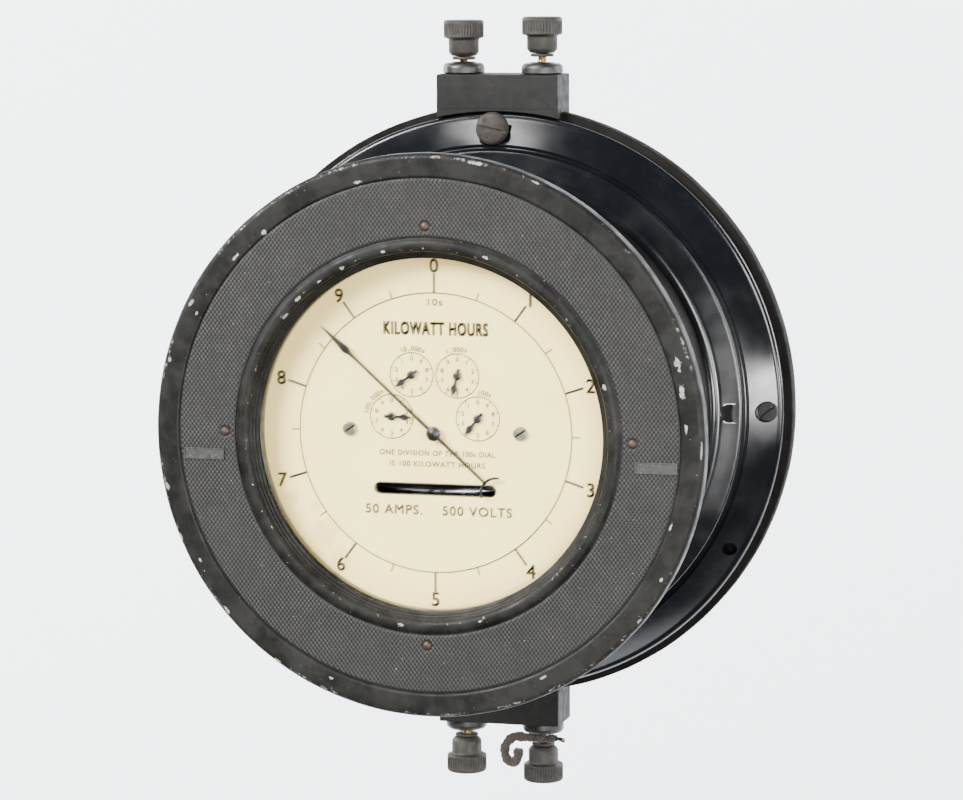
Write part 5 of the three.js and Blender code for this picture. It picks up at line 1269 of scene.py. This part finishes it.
class METER_OT_dial(bpy.types.Operator):
    """Finishes the dial plate and prints its scales, numbers and lines"""

    bl_idname = "meter.dial"
    bl_label = "Dial"

    def execute(self, context):
        settings = context.scene.meter_dial
        finish_node("dial_plate", "dial_enamel")
        front, back = DIAL_FACE - 0.05, DIAL_FACE + 0.05
        scale = settings.scale_radius / MM
        line = settings.line_width / MM
        bold = 1.9 * line
        parts = [ribbon(scale - line / 2, scale + line / 2, front, back, steps=360)]
        for tenth in range(20):
            degrees = 90.0 - 18.0 * tenth
            length = 8.0 if tenth % 2 == 0 else 3.4
            x, z = on_circle(scale + length / 2, degrees)
            parts.append(bar(x, z, length, line if tenth % 2 else bold, degrees, front, back))
        for number in range(10):
            x, z = on_circle(settings.numeral_radius / MM, 90.0 - 36.0 * number)
            parts.append(lettering(str(number), x, z, 5.6, front, back, weight=0.14))
        lines = (
            ("10s", 0.4, 53.4, 2.7, 6.0, 0.06), ("KILOWATT HOURS", 0.6, 42.6, 5.1, 43.5, 0.25),
            ("ONE DIVISION OF THE 100s DIAL", 1.0, -8.2, 2.15, 48.6, 0.05),
            ("IS 100 KILOWATT HOURS", 1.0, -12.7, 2.15, 40.0, 0.05),
            ("50 AMPS.    500 VOLTS", 1.4, -31.6, 3.8, 61.5, 0.09),
        )
        for text, x, z, height, width, weight in lines:
            parts.append(lettering(text, x, z, height, front, back, width, weight=weight))
        add_piece("dial_printing", joined(parts), "base", "dial_enamel", finish="ink")
        self.sub_dials(settings, front, back)
        self.slot_edge()
        for name in ("left", "right"):
            self.screw(name)
        return {"FINISHED"}

    def screw(self, name):
        """A dial screw, with a dark bar at the bottom of its slot as painted shade."""
        low, high = box(f"dial_screw_{name}")
        centre = ((low.x + high.x) / 2, (low.z + high.z) / 2)
        slot = 35.0
        head = slotted_head(low.y, DIAL_FACE - 0.1, 2.9, 0.35, 0.42, 0.75, slot, centre, crown=0.12)
        body = [(0.0, DIAL_FACE - 0.3), (1.3, DIAL_FACE - 0.3), (1.3, high.y), (0.0, high.y)]
        surface = joined([head, shank(body, centre, 20)])
        add_piece(f"dial_fixing_{name}", surface, "base", "nickel", nodes=[f"dial_screw_{name}"], merge=True)
        # Painted shade: a dark bar laid in the bottom of the slot.
        overlay = bar(*centre, 5.2, 0.8, slot, low.y + 0.7, low.y + 0.9)
        add_piece(f"dial_slot_shade_{name}", overlay, "base", "nickel", finish="dark_screw")

    def sub_dials(self, settings, front, back):
        """Each small dial has a thin circle, ten short ticks, upright numbers and a label along an arc."""
        radius = settings.sub_radius / MM
        parts = []
        for dial in SUB_DIALS.values():
            cx, cz = dial["place"]
            parts.append(ribbon(radius - 0.2, radius + 0.2, front, back, dial["place"], steps=96))
            for number in range(10):
                degrees = 90.0 + dial["turn"] * 36.0 * number
                dx, dz = on_circle(radius - 0.5, degrees)
                parts.append(bar(cx + dx, cz + dz, 1.0, 0.36, degrees, front, back))
                dx, dz = on_circle(radius - 2.3, degrees)
                parts.append(lettering(str(number), cx + dx, cz + dz, 1.8, front, back, weight=0.05))
            text = dial["label"]
            pitch = 8.4
            for place, character in enumerate(text):
                degrees = dial["label_at"] - (place - (len(text) - 1) / 2) * pitch
                tall, above = {",": (0.8, 0.8), "s": (1.3, 1.8)}.get(character, (2.0, 1.8))
                dx, dz = on_circle(radius + above, degrees)
                x, z, tilt = cx + dx, cz + dz, degrees - 90.0
                parts.append(lettering(character, x, z, tall, front, back, None, tilt, weight=0.05))
        add_piece("sub_dial_printing", joined(parts), "base", "dial_enamel", finish="ink")

    def slot_edge(self):
        """A thin black band round the window of the disc, which runs back along the window's walls: painted
        shade that keeps the window dark. It follows two half circles and the straight sides between them."""
        straight = SLOT_HALF_LENGTH - SLOT_HALF_HEIGHT
        angle = np.radians(np.concatenate([np.linspace(-90, 90, 15), np.linspace(90, 270, 15)]))
        middle = np.where(np.arange(30) < 15, straight, -straight)
        # Painted shade: the band lines the window's walls in black about a millimetre deep.
        outline = shifted([(2.06, -0.14), (2.5, -0.1), (2.5, 0.1), (2.06, 1.0)], 0.0, DIAL_FACE)
        loops = []
        for reach, y in outline:
            x, z = middle + reach * np.cos(angle), SLOT_Z + reach * np.sin(angle)
            loops.append(np.stack([x, np.full_like(x, y), z], -1))
        surface = closed_grid(np.stack(loops, 1))
        add_piece("disc_window_shade_border", surface, "base", "dial_enamel", finish="black_enamel")


class METER_OT_hands(bpy.types.Operator):
    """Builds the main hand and the four small hands"""

    bl_idname = "meter.hands"
    bl_label = "Hands"

    def execute(self, context):
        self.main_hand()
        for name, dial in SUB_DIALS.items():
            self.small_hand(name, dial)
        return {"FINISHED"}

    def main_hand(self):
        """A long thin hand with a lozenge near its tip, a hub, and a crescent on its tail."""
        low, high = box("main_hand")
        front, back = low.y + 0.5, high.y - 0.5
        tip = OPENING - 8.1
        wide = tip - 14.2
        edge = [(tip, 0.06), (tip - 7.0, 0.62)]
        lozenge = [(3.0, 1.1), (0.8, 1.5), (-0.4, 1.45), (-1.3, 1.0), (-2.6, 0.6), (-6.0, 0.42)]
        edge += shifted(lozenge, wide, 0.0)
        edge += [(20.0, 0.5), (0.0, 0.62), (-18.0, 0.5), (-29.6, 0.4)]
        crescent = arc_profile(-35.2, 0.0, 6.8, *np.degrees([-1.05, 1.05]), 24)
        crescent += arc_profile(-35.7, 0.0, 6.3, *np.degrees([0.95, -0.95]), 24)
        hub = shifted([(0.0, 0.0), (1.0, 0.0), (1.2, 0.12), (2.3, 0.18), (2.75, 0.4), (2.9, 0.5)], 0.0, low.y)
        hub += [(2.9, back + 0.3), (2.6, high.y), (0.9, high.y), (0.9, front + 0.2), (0.0, front + 0.2)]
        parts = [
            prism(self.both_sides(edge), front, back, 0.14), prism(crescent, front, back, 0.1),
            shank(hub, (0.0, 0.0), 48),
        ]
        self.place("hand_main", parts, (0.0, 0.0), 137.8, "centre_wheel", "main_hand")

    def small_hand(self, name, dial):
        """A short hand with a lozenge near its tip and a hub."""
        low, high = box(f"hand_{name}")
        front, back = low.y + 0.2, high.y
        edge = [(8.4, 0.08), (7.2, 0.6), (5.8, 1.2), (5.0, 1.3), (4.3, 0.9), (3.5, 0.5), (0.0, 0.5)]
        edge.append((-3.0, 0.62))
        hub = shifted([(0.0, 0.0), (0.9, 0.0), (1.5, 0.15), (1.7, 0.3)], 0.0, low.y)
        hub += [(1.7, back), (0.8, back), (0.8, front + 0.25), (0.0, front + 0.25)]
        parts = [prism(self.both_sides(edge), front, back, 0.12), shank(hub, (0.0, 0.0), 32)]
        body = f"{name}_wheel"
        self.place(f"hand_{name}_fine", parts, dial["place"], dial["hand"], body, f"hand_{name}")

    def both_sides(self, edge):
        """An outline of one edge and its mirror image."""
        return edge + [(x, -z) for x, z in reversed(edge)]

    def place(self, name, parts, centre, degrees, body, node):
        """Turns parts drawn along +X to an angle seen from the front and sets them on their arbor."""
        vertices, faces = joined(parts)
        turn = np.radians(degrees)
        x = centre[0] + vertices[:, 0] * np.cos(turn) - vertices[:, 2] * np.sin(turn)
        z = centre[1] + vertices[:, 0] * np.sin(turn) + vertices[:, 2] * np.cos(turn)
        surface = (np.stack([x, vertices[:, 1], z], 1), faces)
        add_piece(name, surface, body, "black_enamel", nodes=[node], merge=True)


# Nodes whose edges are rounded: node, name of the piece, width of the rounding and finish.
ROUNDED_NODES = (
    ("main_frame", "iron_frame", 0.6, "frame_iron"),
    ("voltage_core", "upper_core", 0.25, "laminations"),
    ("series_core", "lower_core", 0.25, "laminations"),
    ("voltage_coil", "upper_winding", 1.6, "coil_cotton"),
    ("current_coil_left", "left_winding", 1.4, "coil_cotton"),
    ("current_coil_right", "right_winding", 1.4, "coil_cotton"),
    ("drag_magnet", "magnet", 0.7, "magnet_steel"),
)


class METER_OT_mechanism(bpy.types.Operator):
    """Finishes the motor, the rotor and the register behind the dial"""

    bl_idname = "meter.mechanism"
    bl_label = "Mechanism"

    def execute(self, context):
        for node, name, width, slot in ROUNDED_NODES:
            bevelled_copy(node, name, width, "base", slot)
        self.disc()
        finish_node("rotor_spindle", "spindle_steel")
        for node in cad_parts:
            if "wheel_arbor" in node or node.startswith("register_") or "bearing" in node:
                finish_node(node, "register_brass")
        return {"FINISHED"}

    def disc(self):
        """The meter disc, with a black mark on its edge that shows in the window as it comes round; set
        behind the window, it also stands as painted shade that keeps the window dark.
        """
        low, high = box("rotor_disc")
        edge = 0.2
        centre = (0.0, DISC_Y, 0.0)
        outline = [(DISC_RADIUS - edge, low.z), (DISC_RADIUS, low.z + edge)]
        outline += [(DISC_RADIUS, high.z - edge), (DISC_RADIUS - edge, high.z)]
        profile = [(1.8, low.z)] + outline + [(1.8, high.z)]
        surface = closed_grid(upright_points(profile, 288, centre, 1.0))
        add_piece("meter_disc", surface, "rotor", "disc_aluminium", nodes=["rotor_disc"])
        # The black mark sits right behind the window: a disc marking, and painted shade for the window.
        corners, faces = bar(0.0, 0.0, 1.0, 1.0, 0.0, 0.0, 1.0)
        place = np.array([0.0, DISC_Y - DISC_RADIUS + 0.02, (low.z + high.z) / 2])
        mark = (corners * np.array([7.0, 0.6, 1.04]) + place, faces)
        add_piece("disc_edge_mark_and_shade", mark, "rotor", "disc_aluminium", finish="black_enamel")


class METER_OT_stage(bpy.types.Operator):
    """Sets the pale floor and wall, the soft lights and the camera"""

    bl_idname = "meter.stage"
    bl_label = "Stage"

    def execute(self, context):
        settings = context.scene.meter_stage
        self.backdrop(settings)
        self.lights()
        self.camera(context, settings)
        return {"FINISHED"}

    def backdrop(self, settings):
        """A floor that curves up into a wall: one profile of [y, z] points carried along X."""
        floor, wall, bend = -800.0, 2600.0, 900.0
        angle = np.radians(np.linspace(-90.0, 0.0, 24))
        curve = [(wall - bend + bend * np.cos(a), floor + bend + bend * np.sin(a)) for a in angle]
        profile = [(-150.0, floor)] + curve + [(wall, 6000.0)]
        points = np.array([[(x, y, z) for y, z in profile] for x in (-7000.0, 7000.0)])
        faces = grid_faces(2, len(profile))
        stage = mesh_object("backdrop", points.reshape(-1, 3), faces, 60.0)
        f = Finish("backdrop")
        f.set(Base_Color=f.blend(f.noise(900.0), settings.backdrop, shade(settings.backdrop, 0.98)))
        f.set(Roughness=0.95, Specular_IOR_Level=0.1)
        stage.data.materials.append(f.material)

    def lights(self):
        """Soft boxes, each with its place, width, height, watts and aim: a broad key from the upper left, a
        fill from the right, three small ones whose reflections show on the shoulder, the flange and the
        top of the skirt, and two that even out the wall behind."""
        boxes = (
            ("key", (-1700.0, -2100.0, 1500.0), 1300.0, 1300.0, 400.0, (0.0, -80.0, 0.0)),
            ("front_fill", (1900.0, -2600.0, 500.0), 1200.0, 1600.0, 120.0, (0.0, -80.0, 0.0)),
            ("shoulder_glint", (495.0, -1985.0, -150.0), 400.0, 300.0, 34.0, (104.0, -31.0, 10.0)),
            ("flange_glint", (1953.0, -814.0, -77.0), 460.0, 420.0, 26.0, (118.0, -24.0, 8.0)),
            ("high_glint", (-353.0, -388.0, 1430.0), 560.0, 260.0, 9.0, (0.0, -24.0, 118.0)),
            ("wall_left", (-1900.0, 900.0, 700.0), 1200.0, 1500.0, 150.0, (0.0, 2600.0, 100.0)),
            ("wall_right", (1900.0, 900.0, 700.0), 1200.0, 1500.0, 150.0, (0.0, 2600.0, 100.0)),
        )
        for name, place, wide, tall, watts, aim in boxes:
            light = bpy.data.lights.new(name, "AREA")
            light.shape = "RECTANGLE"
            light.size = wide * MM
            light.size_y = tall * MM
            light.energy = watts
            holder = bpy.data.objects.new(name, light)
            bpy.context.scene.collection.objects.link(holder)
            away = Vector(place) - Vector(aim)
            turned_to = away.to_track_quat("Z", "Y").to_matrix().to_4x4()
            holder.matrix_world = Matrix.Translation(Vector(place) * MM) @ turned_to
        world = bpy.data.worlds.new("studio")
        world.use_nodes = True
        sky = world.node_tree.nodes["Background"]
        sky.inputs["Color"].default_value = (0.86, 0.9, 0.95, 1.0)
        sky.inputs["Strength"].default_value = 0.12
        bpy.context.scene.world = world

    def camera(self, context, settings):
        """The camera stands off the point it looks at along a direction given by azimuth and elevation."""
        azimuth, elevation = settings.azimuth, settings.elevation
        level = np.cos(elevation)
        back = Vector((np.sin(azimuth) * level, -np.cos(azimuth) * level, np.sin(elevation)))
        right = Vector((np.cos(azimuth), np.sin(azimuth), 0.0))
        upward = back.cross(right)
        aside, raised, depth = -9.75 * MM, -0.1 * MM, -11.0 * MM
        aim = right * aside + upward * raised + Vector((0.0, depth, 0.0))
        place = aim + back * settings.distance
        lens = bpy.data.cameras.new("camera")
        lens.lens = settings.lens
        lens.sensor_width = 36.0
        lens.clip_start = 0.05
        lens.clip_end = 50.0
        camera = bpy.data.objects.new("camera", lens)
        context.scene.collection.objects.link(camera)
        axes = Matrix((right, upward, back)).transposed().to_4x4()
        camera.matrix_world = Matrix.Translation(place) @ axes @ Matrix.Rotation(settings.roll, 4, "Z")
        context.scene.camera = camera


OPERATORS = (
    METER_OT_stage, METER_OT_finishes, METER_OT_case, METER_OT_posts, METER_OT_wire, METER_OT_cover,
    METER_OT_ring, METER_OT_glass, METER_OT_screws, METER_OT_dial, METER_OT_hands, METER_OT_mechanism,
)
PROPERTY_GROUPS = {
    "meter_ring": MeterRingProperties,
    "meter_cover": MeterCoverProperties,
    "meter_dial": MeterDialProperties,
    "meter_stage": MeterStageProperties,
}


class METER_PT_pieces(bpy.types.Panel):
    """Lists the meter's pieces and settings"""

    bl_idname = "METER_PT_pieces"
    bl_label = "Dial Electric Meter"
    bl_space_type = "VIEW_3D"
    bl_region_type = "UI"
    bl_category = "Meter"

    def draw(self, context):
        for operator in OPERATORS:
            self.layout.operator(operator.bl_idname)
        for name, group in PROPERTY_GROUPS.items():
            box = self.layout.box()
            for prop in group.__annotations__:
                box.prop(getattr(context.scene, name), prop)


def register():
    for cls in (*PROPERTY_GROUPS.values(), *OPERATORS, METER_PT_pieces):
        bpy.utils.register_class(cls)
    for name, group in PROPERTY_GROUPS.items():
        setattr(bpy.types.Scene, name, PointerProperty(type=group))


def unregister():
    for name in PROPERTY_GROUPS:
        delattr(bpy.types.Scene, name)
    for cls in (METER_PT_pieces, *reversed(OPERATORS), *PROPERTY_GROUPS.values()):
        bpy.utils.unregister_class(cls)


def main():
    register()
    for operator in OPERATORS:
        group, action = operator.bl_idname.split(".")
        getattr(getattr(bpy.ops, group), action)()


if __name__ == "__main__":
    main()
